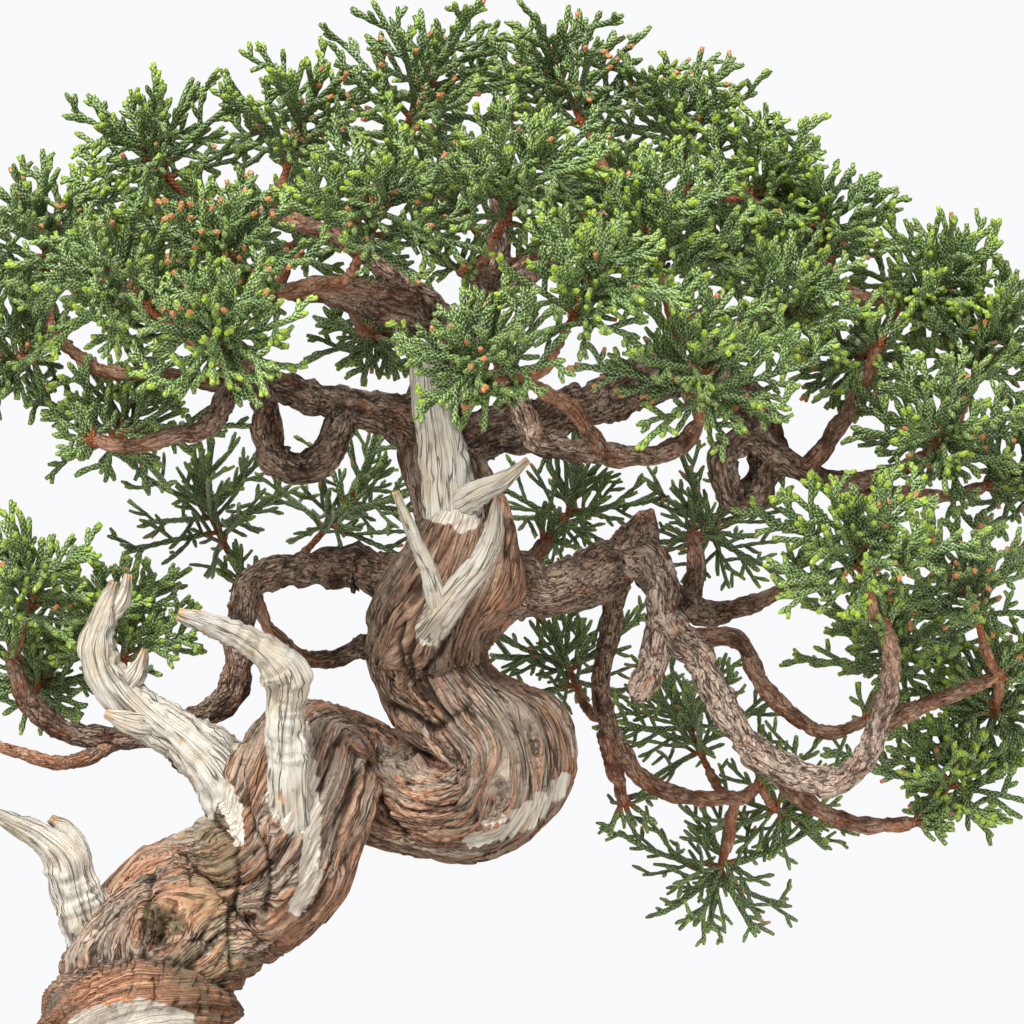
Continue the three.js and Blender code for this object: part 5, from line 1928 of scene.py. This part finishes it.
@dataclass
class Limbs:
    """The branches, twigs and surface roots, wrapped in bark along their lines."""

    step: float = 0.85
    twig_base: float = 1.25
    twig_tip: float = 1.05
    twig_reach: float = 0.62  # of the way to the middle of its foliage
    twig_step: float = 0.7
    twig_share: float = 0.9
    sag: float = 0.1
    low: Tuple[float, float] = (0.5, 0.25)  # where a twig starts and ends below its room
    straight: float = 18.0  # shorter twigs are straight
    coarse: float = 10.0  # the part's own step, on which twigs are hung
    sides: Tuple[int, int] = (20, 8)  # round a branch and a twig
    # A root's points: share of its reach, height over the soil, share of its radius
    dive: Tuple[Row, ...] = ((0.15, 9, 1.1), (0.5, 3.4, 0.95), (0.8, -2.5, 0.7), (1.0, -9, 0.35))
    root_bark: Tuple[float, float] = (0.45, 0.3)  # how young and how light it is
    bend: Tuple[int, float, float] = (31, 7.0, 0.7)  # seed, wave length, size
    swell: Tuple[float, float] = (3.4, 0.22)  # wave length, size
    blunt: Tuple[float, float] = (0.35, 1.6)  # share of the radius left, over a length
    rosy: Dict[str, float] = field(
        default_factory=lambda: {"right_low_arm": 1.0, "right_low_drop": 1.0, "right_low": 0.2}
    )
    twigs: Dict[str, Line] = field(default_factory=dict)

    def root_line(self, degrees: float, reach: float, radius: float) -> Line:
        """Gives the line of a surface root that dives into the soil.

        Args:
            degrees: its direction as seen from above.
            reach: how far from the trunk's middle it goes.
            radius: its radius.

        Returns:
            The line.
        """
        turn = math.radians(degrees)
        out = np.array([math.cos(turn), math.sin(turn), 0.0])
        foot = trunk_foot(SOIL_TOP)
        points = np.array([foot + out * reach * s + [0, 0, z] for s, z, _ in self.dive])
        return Line.through(points, [radius * r for _, _, r in self.dive], self.step)

    def twig_line(self, name: str, branches: Sequence[Line]) -> Line:
        """Gives the line of the twig that carries a branchlet.

        Args:
            name: the branchlet.
            branches: the lines of the branches, at the part's own coarse step.

        Returns:
            The twig's line.
        """
        x, z, depth, _, half_height, _ = FOLIAGE[name]
        middle = FRONT.place(x, z, depth)
        anchor = middle - [0, 0, half_height * self.low[0]]
        places = np.vstack([line.at for line in branches])
        radii = np.concatenate([line.radius for line in branches])
        nearest = int(np.argmin(np.linalg.norm(places - anchor, axis=1)))
        start, span = places[nearest], middle - places[nearest]
        foot = start + span * self.twig_reach - [0, 0, half_height * self.low[1]]
        length = float(np.linalg.norm(span))
        bend = (start + foot) / 2 - [0, 0, length * self.sag]
        base = min(self.twig_base, radii[nearest] * self.twig_share)
        points, thick = [start, bend, foot], [base, (base + self.twig_tip) / 2, self.twig_tip]
        if length < self.straight:
            points, thick = [start, foot], [base, self.twig_tip]
        return Line.through(np.array(points), thick, self.twig_step)

    def lines(self) -> List[Tuple[Line, float, float]]:
        """Finds the line of every limb, and keeps those of the twigs.

        Returns:
            Each limb's line, how young and how light its bark is.
        """
        coarse = [Line.of_rows(rows, self.coarse) for rows in BRANCHES.values()]
        self.twigs = {name: self.twig_line(name, coarse) for name in FOLIAGE}
        found = [(Line.of_rows(TRUNK[WAIST_ROW:], self.step), 0.0, 0.0)]
        for name, rows in BRANCHES.items():
            found.append((Line.of_rows(rows, self.step), 0.0, self.rosy.get(name, 0.0)))
        found += [(self.root_line(*row), *self.root_bark) for row in ROOTS]
        found += [(line, 1.0, 0.0) for line in self.twigs.values()]
        return found

    def build(self, finish: LimbFinish) -> List[Piece]:
        """Builds the limbs.

        Args:
            finish: their bark.

        Returns:
            The branches with the roots and the twigs, set on the part.
        """
        material, tree, found = finish.material(), LimbRelief().tree(), self.lines()
        old = [limb for limb in found if limb[1] < 0.5]
        twigs = [limb for limb in found if limb[1] > 0.5]
        made = []
        for name, limbs, sides in zip(("branches", "twigs"), (old, twigs), self.sides):
            piece = self.draw(name, limbs)
            tree.grow(piece, material, {"Sides": sides})
            made.append(finish_piece(piece, ["trunk_and_branches"], material))
        return made

    def draw(self, name: str, limbs: Sequence[Tuple[Line, float, float]]) -> Piece:
        """Draws limbs as bare lines that carry what the bark needs.

        Args:
            name: the piece's name.
            limbs: each limb's line, how young and how light its bark is.

        Returns:
            The object with the lines.
        """
        seed, wave, amount = self.bend
        wires, bend = Wires(), Texture3D(seed)
        for number, (line, young, light) in enumerate(limbs):
            shifts = (0.0, 40.0, 80.0)
            sway = np.stack([bend.at(line.at / wave + shift) for shift in shifts], axis=-1)
            left = line.run[-1] - line.run
            sway *= (np.clip(np.minimum(line.run, left) / 6, 0, 1) * amount)[:, None]
            size, height = self.swell
            lumps = 1 + height * bend.at(line.at / size + 11.0) * (1 - 0.6 * young)
            share, length = self.blunt
            lumps *= share + (1 - share) * soft_step(left, 0.0, length)
            slender = soft_step(line.radius, 2.4, 1.3)
            wires.add(
                line.at + sway, thick=line.radius * lumps, run=line.run,
                seed=chance(number, 1.0), young=np.maximum(young, slender * 0.75), light=light,
            )
        return wires.build(name)


# Deadwood


@dataclass
class Deadwood:
    """The bleached jins: split, furrowed and drawn out to ragged ends."""

    sides: int = 40
    step: float = 0.6
    twist: float = 0.02
    seed_shift: float = 37.0
    ridge: Streak = Streak(41, 1.5, 22.0, 0.3)
    furrow: Streak = Streak(42, 2.6, 30.0, 0.1)
    thread: Streak = Streak(43, 0.55, 9.0, 0.35)
    lumps: Tuple[Tuple[Streak, float], ...] = (
        (Streak(44, 2.2, 5.0), 0.9), (Streak(45, 1.0, 2.4), 0.3),
    )
    wrinkle: Streak = Streak(47, 5.0, 0.9)
    wrinkled: Streak = Streak(48, 9.0, 16.0)  # tells where the wrinkles are
    ragged: Streak = Streak(46, 0.8, 30.0)  # frays the ends
    flare: Tuple[float, float] = (0.22, 6.0)  # how much wider at the trunk, and the fade
    amber: Row = (2.3, 0.2, 0.75)  # from where to where from the end, and how much

    def prong(
        self, rows: Sequence[Row], flat: float, seed: int, main: bool
    ) -> Callable[[int], Tuple]:
        """Builds one prong.

        Args:
            rows: its line, as x, z, depth and radius.
            flat: the share of its width that is left in depth.
            seed: the number that its noise starts from.
            main: whether it leaves the trunk itself, with a flare, and not another prong.

        Returns:
            What makes its points, faces and values from its first point number.
        """
        line = Line.of_rows(rows, self.step)
        skin = Skin(line, self.sides, flat)
        angle = skin.angle - self.twist * skin.run + seed
        wide = float(np.mean(line.radius))
        fibres = Fibres(angle, wide, skin.run + self.seed_shift * seed)
        left = line.run[-1] - skin.run
        size = np.clip(line.radius[:, None] / 4.0, 0.3, 1.3)
        ridge, furrow, thread = (
            fibres.split(streak) for streak in (self.ridge, self.furrow, self.thread)
        )
        lumps = sum(fibres.read(streak) * amount for streak, amount in self.lumps)
        wrinkles = fibres.read(self.wrinkle) * soft_step(fibres.read(self.wrinkled), -0.1, 0.25)
        turning = np.linalg.norm(np.gradient(line.along, line.run, axis=0), axis=1)
        knee = 1 + np.clip(turning * 1.6 - 0.06, 0, 0.26)[:, None]
        height = lumps * 0.55 - ridge * 0.5 - furrow * 0.75 - thread * 0.14 + wrinkles * 0.7
        ragged = soft_step(fibres.read(self.ragged), 0.25, -0.3) * soft_step(left, 4.0, 0.5)
        wider, fade = self.flare
        foot = 1 + wider * np.exp(-skin.run / fade) if main else soft_step(skin.run, -5.0, 5.0)
        radius = line.radius[:, None] * (foot * knee - 0.65 * ragged) + height * size
        relief = np.clip(1 - furrow * 0.9 - ridge * 0.3 - thread * 0.2, 0, 1)
        first, last, share = self.amber
        end = soft_step(left, first, last) * share
        values = {"fibre": fibres.places, "relief": relief, "end": end}
        return lambda start: skin.closed(np.maximum(radius, 0.15), values, start)

    def build(self, finish: DeadwoodFinish) -> List[Piece]:
        """Builds the jins.

        Args:
            finish: their bleached wood.

        Returns:
            One piece for each jin, set on the part.
        """
        material = finish.material()
        made = []
        for order, (name, (flat, prongs)) in enumerate(DEADWOOD.items()):
            tubes = [
                self.prong(rows, flat, order * 5 + k, k == 0) for k, rows in enumerate(prongs)
            ]
            piece = join_tubes(f"{name}_grain", tubes)
            made.append(finish_piece(piece, [name], material))
        return made


# Foliage


class Habit(Enum):
    """How a branchlet grows: side stems, the spacing, radius and length of shoots, its spread."""

    FULL = (14, 3.3, 0.63, 10.5, 1.15)
    OPEN = (10, 4.0, 0.48, 12.0, 1.3)

    @classmethod
    def of(cls, name: str) -> "Habit":
        """Gives a branchlet's habit: those that hang or lie behind grow more open."""
        return cls.OPEN if name.startswith(("hanging", "behind")) else cls.FULL


@dataclass
class Foliage:
    """The branchlets: each a main stem with side stems to its room's rim and many shoots."""

    main_radius: float = 0.8
    stem_radius: float = 0.66
    lean: float = 0.72  # of a shoot from its stem, in radians
    rise: float = 0.1  # how strongly tips turn up
    margin: float = 1.6  # inside the part's box
    seed: int = 900
    golden: float = 2.39996  # the turn from one side stem to the next
    levels: Tuple[float, float] = (0.9, 1.35)  # how the side stems spread from front to back
    hold: Tuple[float, float] = (0.62, 0.5)  # where they leave the main stem
    bare: Row = (0.14, 0.08, 0.3, 0.2)  # of the main stem, side stem, shoot and tuft
    leans: Tuple[float, float] = (-0.14, 0.14)  # how far a shoot's lean differs
    lengths: Tuple[float, float] = (0.75, 1.15)  # a shoot's length, as a share of the usual
    radii: Tuple[float, float] = (0.88, 1.08)  # its radius
    reaches: Tuple[float, float] = (0.86, 1.2)  # a side stem's reach
    segment: float = 1.3
    tuft_stems: int = 5
    tuft_length: Tuple[float, float] = (11, 9)  # its middle stem and the others
    tuft_shoot: float = 6.5
    stubs: Tuple[str, ...] = ("right_low", "right_low_drop")  # branches that end bare

    def within(self, point: Array, margin: float) -> Array:
        """Moves a point to lie inside the part's box by a margin."""
        low, high = (np.array(corner) / MM for corner in CAD_BOX)
        return np.clip(point, low + margin, high - margin)

    def arc(self, start: Array, end: Array, bulge: Array) -> Array:
        """Gives points along an arc.

        Args:
            start: its first point.
            end: its last point.
            bulge: how far and which way its middle lies off the straight line.

        Returns:
            The points.
        """
        count = max(3, int(np.linalg.norm(end - start) / self.segment) + 1)
        share = np.linspace(0, 1, count)[:, None]
        return start + (end - start) * share + bulge * 4 * share * (1 - share)

    def rim(self, name: str, out: Array) -> Array:
        """Finds where a ray from the middle of a room meets its rim.

        Args:
            name: the branchlet whose room it is.
            out: the ray's direction.

        Returns:
            The point on the rim.
        """
        x, z, depth, half_width, half_height, half_depth = FOLIAGE[name]
        reach = 1 / np.linalg.norm(out / np.array([half_width, half_depth, half_height]))
        return FRONT.place(x, z, depth) + out * reach

    def shoot(
        self, shoots: Wires, line: Array, radius: float, ages: Tuple[float, float],
        tone: float,
    ) -> None:
        """Adds a shoot.

        Args:
            shoots: where it is added.
            line: its points, from foot to tip.
            radius: its radius.
            ages: how brown it is at its foot and at its tip.
            tone: its own shade, 0 to 1.
        """
        run = distances(line)
        age = ages[0] + (ages[1] - ages[0]) * run / run[-1]
        shoots.add(line, radius=radius, tip=run[-1] - run, age=age, tone=tone)

    def spray(
        self, shoots: Wires, stem: Array, source: np.random.Generator, habit: Habit,
        length: float, first: float, deeper: bool, tone: float,
    ) -> None:
        """Grows shoots to alternate sides of a stem, shorter towards its tip.

        Args:
            shoots: where they are added.
            stem: the stem's points.
            source: the random numbers.
            habit: how the branchlet grows.
            length: the longest shoot.
            first: the share of the stem that stays bare.
            deeper: whether the shoots carry shoots of their own.
            tone: the stem's own shade.
        """
        run = distances(stem)
        whole = run[-1]
        flat = unit(np.cross(stem[-1] - stem[0], source.normal(size=3)))
        _, spacing, radius, _, _ = habit.value
        places = np.arange(first * whole, whole - 1.1, spacing * (1.0 if deeper else 0.86))
        for k, place in enumerate(places):
            at = np.array([np.interp(place, run, stem[:, axis]) for axis in range(3)])
            ahead = np.array([np.interp(place + 0.6, run, stem[:, axis]) for axis in range(3)])
            along = unit(ahead - at)
            aside = unit(flat - along * float(flat @ along)) * (1 if k % 2 else -1)
            aside = unit(aside + source.normal(size=3) * (0.5 if deeper else 0.25))
            lean = self.lean + source.uniform(*self.leans)
            out = unit(along * math.cos(lean) + aside * math.sin(lean))
            share = (place / whole - first) / max(1 - first, 0.01)
            own = length * (1 - 0.45 * share) * source.uniform(*self.lengths)
            end = at + out * own + np.array([0, 0, self.rise * own])
            line = self.arc(at, end, aside * 0.06 * own)
            lively = tone + 0.26 * (share - 0.45) + source.normal() * 0.16
            own_tone = float(np.clip(lively, 0, 1))
            if np.any(end != self.within(end, self.margin)):
                continue
            own_radius = radius * source.uniform(*self.radii)
            self.shoot(shoots, line, own_radius, (0.0, 0.0), own_tone)
            if deeper:
                short = max(own * 0.5, 3.0)
                self.spray(shoots, line, source, habit, short, self.bare[2], False, own_tone)

    def tuft(
        self, shoots: Wires, branch: Line, source: np.random.Generator, habit: Habit, tone: float
    ) -> None:
        """Grows a tuft on a branch's end.

        Args:
            shoots: where its shoots are added.
            branch: the branch.
            source: the random numbers.
            habit: how the shoots grow.
            tone: its own shade.
        """
        at, along = branch.at[-1] - branch.along[-1] * 1.5, branch.along[-1]
        for k in range(self.tuft_stems):
            aside = unit(np.cross(along, source.normal(size=3)))
            out = unit(along + aside * (0.0 if k == 0 else 0.85) + np.array([0, 0, 0.15]))
            end = self.within(at + out * self.tuft_length[min(k, 1)], self.margin)
            stem = self.arc(at, end, aside * 0.5)
            self.shoot(shoots, stem, self.stem_radius, (0.9, -0.4), tone)
            length = self.tuft_shoot
            self.spray(shoots, stem, source, habit, length, self.bare[3], True, tone)

    def branchlet(self, name: str, twig: Line, ends: Sequence[Line], order: int) -> Wires:
        """Grows one branchlet in its room.

        Args:
            name: the branchlet.
            twig: the twig that carries it.
            ends: branches that end in or beside its room.
            order: its place in the list, which seeds its chances.

        Returns:
            Its shoots.
        """
        source = np.random.default_rng(self.seed + order)
        shoots = Wires()
        habit = Habit.of(name)
        count, _, _, longest, spread = habit.value
        room = FOLIAGE[name]
        middle = FRONT.place(*room[:3])
        start, onward = twig.at[-1] - twig.along[-1] * 0.8, twig.along[-1]
        axis = unit(middle - start + onward * 3)
        end = self.rim(name, axis)
        length = float(np.linalg.norm(end - start))
        main = self.arc(start, end, (onward - axis) * 0.2 * length)
        base_tone = 0.5 + 0.3 * (chance(order, 4.0) - 0.5)
        self.shoot(shoots, main, self.main_radius, (1.0, -0.6), base_tone)
        self.spray(shoots, main, source, habit, longest, self.bare[0], True, base_tone)
        for branch in ends:
            self.tuft(shoots, branch, source, habit, base_tone)
        first = unit(np.cross(axis, [0.3, 0.5, 0.8]))
        second = np.cross(axis, first)
        for k in range(count):
            level = self.levels[0] - self.levels[1] * (k + 0.5) / count
            turn = k * self.golden + order
            ring = first * math.cos(turn) + second * math.sin(turn)
            out = unit(axis * level + ring * math.sqrt(max(1 - level * level, 0.05)))
            share = self.hold[0] - self.hold[1] * (k + 0.5) / count
            spot = share * (len(main) - 1)
            below, above = main[int(spot)], main[min(int(spot) + 1, len(main) - 1)]
            at = below + (above - below) * (spot - int(spot))
            far = spread * source.uniform(*self.reaches)
            reach = self.within(middle + (self.rim(name, out) - middle) * far, self.margin)
            span = float(np.linalg.norm(reach - at))
            tone = float(np.clip(base_tone + source.normal() * 0.15, 0, 1))
            stem = self.arc(at, reach, (ring + axis) * 0.07 * span - np.array([0, 0, 0.04 * span]))
            self.shoot(shoots, stem, self.stem_radius, (0.75, -1.1), tone)
            self.spray(shoots, stem, source, habit, longest, self.bare[1], True, tone)
        return shoots

    def build(self, finish: LeafFinish, twigs: Dict[str, Line]) -> List[Piece]:
        """Builds the branchlets, and tufts on the ends of the branches nearest to each.

        Args:
            finish: their scale leaves.
            twigs: the twig that carries each branchlet.

        Returns:
            One piece for each branchlet, set on the part.
        """
        material = finish.material()
        tree = ShootForm().tree()
        middles = np.array([FRONT.place(*room[:3]) for room in FOLIAGE.values()])
        ends = {name: [] for name in FOLIAGE}
        for name, rows in BRANCHES.items():
            branch = Line.of_rows(rows, 3.0)
            nearest = int(np.argmin(np.linalg.norm(middles - branch.at[-1], axis=1)))
            if name not in self.stubs:
                ends[list(FOLIAGE)[nearest]].append(branch)
        made = []
        for order, name in enumerate(FOLIAGE):
            shoots = self.branchlet(name, twigs[name], ends[name], order)
            piece = tree.grow(shoots.build(f"{name}_shoots"), material, {})
            made.append(finish_piece(piece, [f"foliage_{name}"], material))
        return made


# Pot and soil


@dataclass
class Pot:
    """The clay tray, with its rounded lip, feet and drain holes, in millimetres."""

    length: float = 190
    width: float = 140
    height: float = 52
    foot_height: float = 7
    floor: float = 5
    wall: float = 5.5
    corner: float = 16
    taper: float = 7
    lip_height: float = 6
    lip_reach: float = 2.2
    foot_length: float = 26
    foot_width: float = 20
    foot_inset: float = 6
    foot_corner: float = 9
    foot_spread: float = 0.35
    drain_radius: float = 7
    drain_spacing: float = 84
    corner_steps: int = 10
    least_corner: float = 4
    drain_sides: int = 48
    drain_past: float = 3

    def tray(self, length: float, width: float, corner: float, z: float) -> Array:
        """Gives a rectangle with round corners, anticlockwise from above.

        Args:
            length: its size along x.
            width: its size along y.
            corner: the radius of its corners.
            z: its height.

        Returns:
            Its points.
        """
        points = []
        for quarter in range(4):
            cx = (1 if quarter in (0, 3) else -1) * (length / 2 - corner)
            cy = (1 if quarter < 2 else -1) * (width / 2 - corner)
            for k in range(self.corner_steps + 1):
                angle = (quarter + k / self.corner_steps) * math.pi / 2
                points.append((cx + corner * math.cos(angle), cy + corner * math.sin(angle), z))
        return np.array(points) + pot_middle()

    def outline(self, inset: float, z: float) -> Array:
        """Gives the tray's outline, with the lean of its sides.

        Args:
            inset: how far inside the rim's edge it runs.
            z: its height.

        Returns:
            Its points.
        """
        lean = self.taper * (self.height - z) / self.height
        shrink = 2 * (inset + lean)
        corner = max(self.corner - inset, self.least_corner)
        return self.tray(self.length - shrink, self.width - shrink, corner, z)

    def build(self, finish: ClayFinish) -> Piece:
        """Builds the pot.

        Args:
            finish: its clay.

        Returns:
            The pot, set on the part.
        """
        base, bed, top = self.foot_height, self.foot_height + self.floor, self.height
        under, reach, inside = top - self.lip_height, self.lip_reach, self.lip_reach + self.wall
        wall = [
            (reach + 3, base), (reach + 0.9, base + 0.1), (reach + 0.25, base + 0.6),
            (reach, base + 1.5), (reach, (base + under) / 2), (reach, under - 0.6),
        ]
        lip = [
            (reach - 0.15, under), (1.2, under + 0.5), (0.4, under + 0.9), (0.1, under + 1.5),
            (0, under + 2.3), (0, top - 1.4), (0.15, top - 0.6), (0.6, top - 0.15), (1.3, top),
            (inside - 1.3, top), (inside - 0.5, top - 0.15), (inside - 0.1, top - 0.6),
            (inside, top - 1.4),
        ]
        hollow = [(inside, bed + 2), (inside + 0.6, bed + 0.5), (inside + 2.2, bed)]
        points, faces = loft([self.outline(inset, z) for inset, z in wall + lip + hollow])
        piece = shade_smooth(add_object("clay_pot", points, faces))
        cutters = []
        for end in (-1, 1):
            hoop = circle(self.drain_radius, self.drain_sides) + pot_middle()
            hoop += [end * self.drain_spacing / 2, 0, 0]
            ends = (base - self.drain_past, bed + self.drain_past)
            cutter = add_object(f"drain_cut_{end + 1}", *loft([hoop + [0, 0, z] for z in ends]))
            modifier = piece.modifiers.new("drain", "BOOLEAN")
            modifier.object, modifier.operation, modifier.solver = cutter, "DIFFERENCE", "EXACT"
            cutters.append(cutter)
        bake_modifiers(piece)
        for cutter in cutters:
            bpy.data.objects.remove(cutter)
        feet = self.feet()
        with bpy.context.temp_override(
            active_object=piece, object=piece, selected_editable_objects=[piece, feet]
        ):
            bpy.ops.object.join()
        return finish_piece(piece, ["pot"], finish.material())

    def feet(self) -> Piece:
        """Builds the four feet, each a low block with rounded edges.

        Returns:
            One object with all of them.
        """
        x = self.length / 2 - self.taper - self.foot_length / 2 - self.foot_inset
        y = self.width / 2 - self.taper - self.foot_width / 2 - self.foot_inset
        points, faces, start = [], [], 0
        for sx, sy in ((1, 1), (-1, 1), (-1, -1), (1, -1)):
            rings = []
            for z, inset in ((0, 0.6), (0.15, 0.2), (0.6, 0), (self.foot_height + 1, 0)):
                grow = self.foot_spread * z - 2 * inset
                length, width = self.foot_length + grow, self.foot_width + grow
                ring = self.tray(length, width, self.foot_corner - inset, z)
                rings.append(ring + [sx * x, sy * y, 0])
            shape, sides = loft(rings, start)
            points.append(shape)
            faces += sides
            start += len(shape)
        return shade_smooth(add_object("feet", np.vstack(points), faces))


@dataclass
class Soil:
    """The soil: a low mound in the pot, strewn with granules."""

    pot: Pot
    rim: float = 46.5
    crown: float = SOIL_TOP
    rings: int = 22
    clearance: float = 0.12
    above_bed: float = 1.4
    cover: float = 0.97  # of the way to the trunk's foot
    bumps: Tuple[int, float, float] = (51, 9.0, 0.9)  # seed, wave length, height

    def build(self, finish: GritFinish) -> Piece:
        """Builds the soil.

        Args:
            finish: its grit.

        Returns:
            The soil, set on the part.
        """
        inside = self.pot.lip_reach + self.pot.wall + self.clearance
        bed = self.pot.foot_height + self.pot.floor + self.above_bed
        edge = self.pot.outline(inside, self.rim)
        foot = trunk_foot(self.crown)
        rings = [self.pot.outline(inside, bed), edge]
        seed, wave, size = self.bumps
        bumps = Texture3D(seed)
        for k in range(1, self.rings + 1):
            share = self.cover * k / self.rings
            height = self.rim + (self.crown - self.rim) * math.sin(share * math.pi / 2)
            ring = edge + (foot - edge) * share
            ring[:, 2] = height + size * bumps.at(ring / wave) * min(1.0, k / 2)
            rings.append(ring)
        points, faces = loft(rings)
        tone = 0.35 + 0.5 * bumps.at(points / 2.0)
        piece = add_object("soil_grit", points, faces, {"tone": tone})
        material = finish.material()
        GranuleForm().tree().grow(piece, material, {})
        return finish_piece(piece, ["soil"], material)


# Studio


class Lamp(Enum):
    """The studio's soft lights: place and target in metres, size and power."""

    KEY = ((-0.42, -0.78, 1.12), (0.0, 0.0, 0.18), 0.6, 32.0)
    FILL = ((0.9, -0.8, 0.4), (0.0, 0.0, 0.2), 0.9, 5.0)
    BACK = ((0.3, 0.9, 1.0), (0.0, 0.0, 0.2), 0.9, 8.0)


@dataclass
class Studio:
    """The pale floor, the light and the camera."""

    floor_radius: float = 0.6
    floor_sides: int = 96
    sensor: float = 36.0
    sky: Colour = (0.985, 0.988, 1.0)
    ambient: float = 0.43  # the strength of the light from all round
    backdrop: float = 0.965  # what the camera sees behind the tree

    def floor(self) -> None:
        """Builds the floor disc."""
        points = circle(self.floor_radius / MM, self.floor_sides)
        disc = add_object("studio_floor", points, [tuple(range(self.floor_sides))])
        disc.data.materials.append(StudioFinish().material())

    def light(self) -> None:
        """Adds the soft lights and the near-white surroundings."""
        for lamp in Lamp:
            place, target, size, power = lamp.value
            data = bpy.data.lights.new(lamp.name.lower(), "AREA")
            data.size, data.energy = size, power
            light = bpy.data.objects.new(lamp.name.lower(), data)
            light.location = place
            aim = Vector(target) - Vector(place)
            light.rotation_euler = aim.to_track_quat("-Z", "Y").to_euler()
            bpy.context.scene.collection.objects.link(light)
        world = bpy.data.worlds.new("studio")
        world.use_nodes = True
        world.node_tree.nodes.clear()
        g = Graph(world.node_tree)
        seen = g.node("ShaderNodeLightPath").outputs["Is Camera Ray"]
        strength = g.math("MULTIPLY", seen, self.backdrop - self.ambient) + self.ambient
        inputs = {"Color": self.sky, "Strength": strength}
        shader = g.out("ShaderNodeBackground", None, inputs)
        g.node("ShaderNodeOutputWorld", None, {"Surface": shader})
        bpy.context.scene.world = world
        bpy.context.scene.view_settings.view_transform = "Standard"

    def camera(self) -> None:
        """Sets the camera where the viewer stands."""
        data = bpy.data.cameras.new("camera")
        data.sensor_width = self.sensor
        data.lens = self.sensor * FRONT.distance / FRONT.width
        camera = bpy.data.objects.new("camera", data)
        place = FRONT.origin() + [FRONT.middle, -FRONT.distance, FRONT.middle]
        camera.location = tuple(place * MM)
        camera.rotation_euler = (math.pi / 2, 0, 0)
        bpy.context.scene.collection.objects.link(camera)
        bpy.context.scene.camera = camera

    def build(self) -> None:
        """Sets up the whole studio."""
        self.floor()
        self.light()
        self.camera()


def main() -> None:
    """Builds every piece in order."""
    logging.basicConfig(level=logging.INFO, format="%(name)s: %(message)s")
    Studio().build()
    pot = Pot()
    pot.build(ClayFinish())
    Soil(pot).build(GritFinish())
    screen = MouldedFinish().material()
    for name in ("drain_screen_left", "drain_screen_right"):
        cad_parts[name].data.materials[0] = screen
    Trunk().build(BarkFinish())
    limbs = Limbs()
    limbs.build(LimbFinish())
    Deadwood().build(DeadwoodFinish())
    Foliage().build(LeafFinish(), limbs.twigs)
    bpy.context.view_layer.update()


if __name__ == "__main__":
    main()
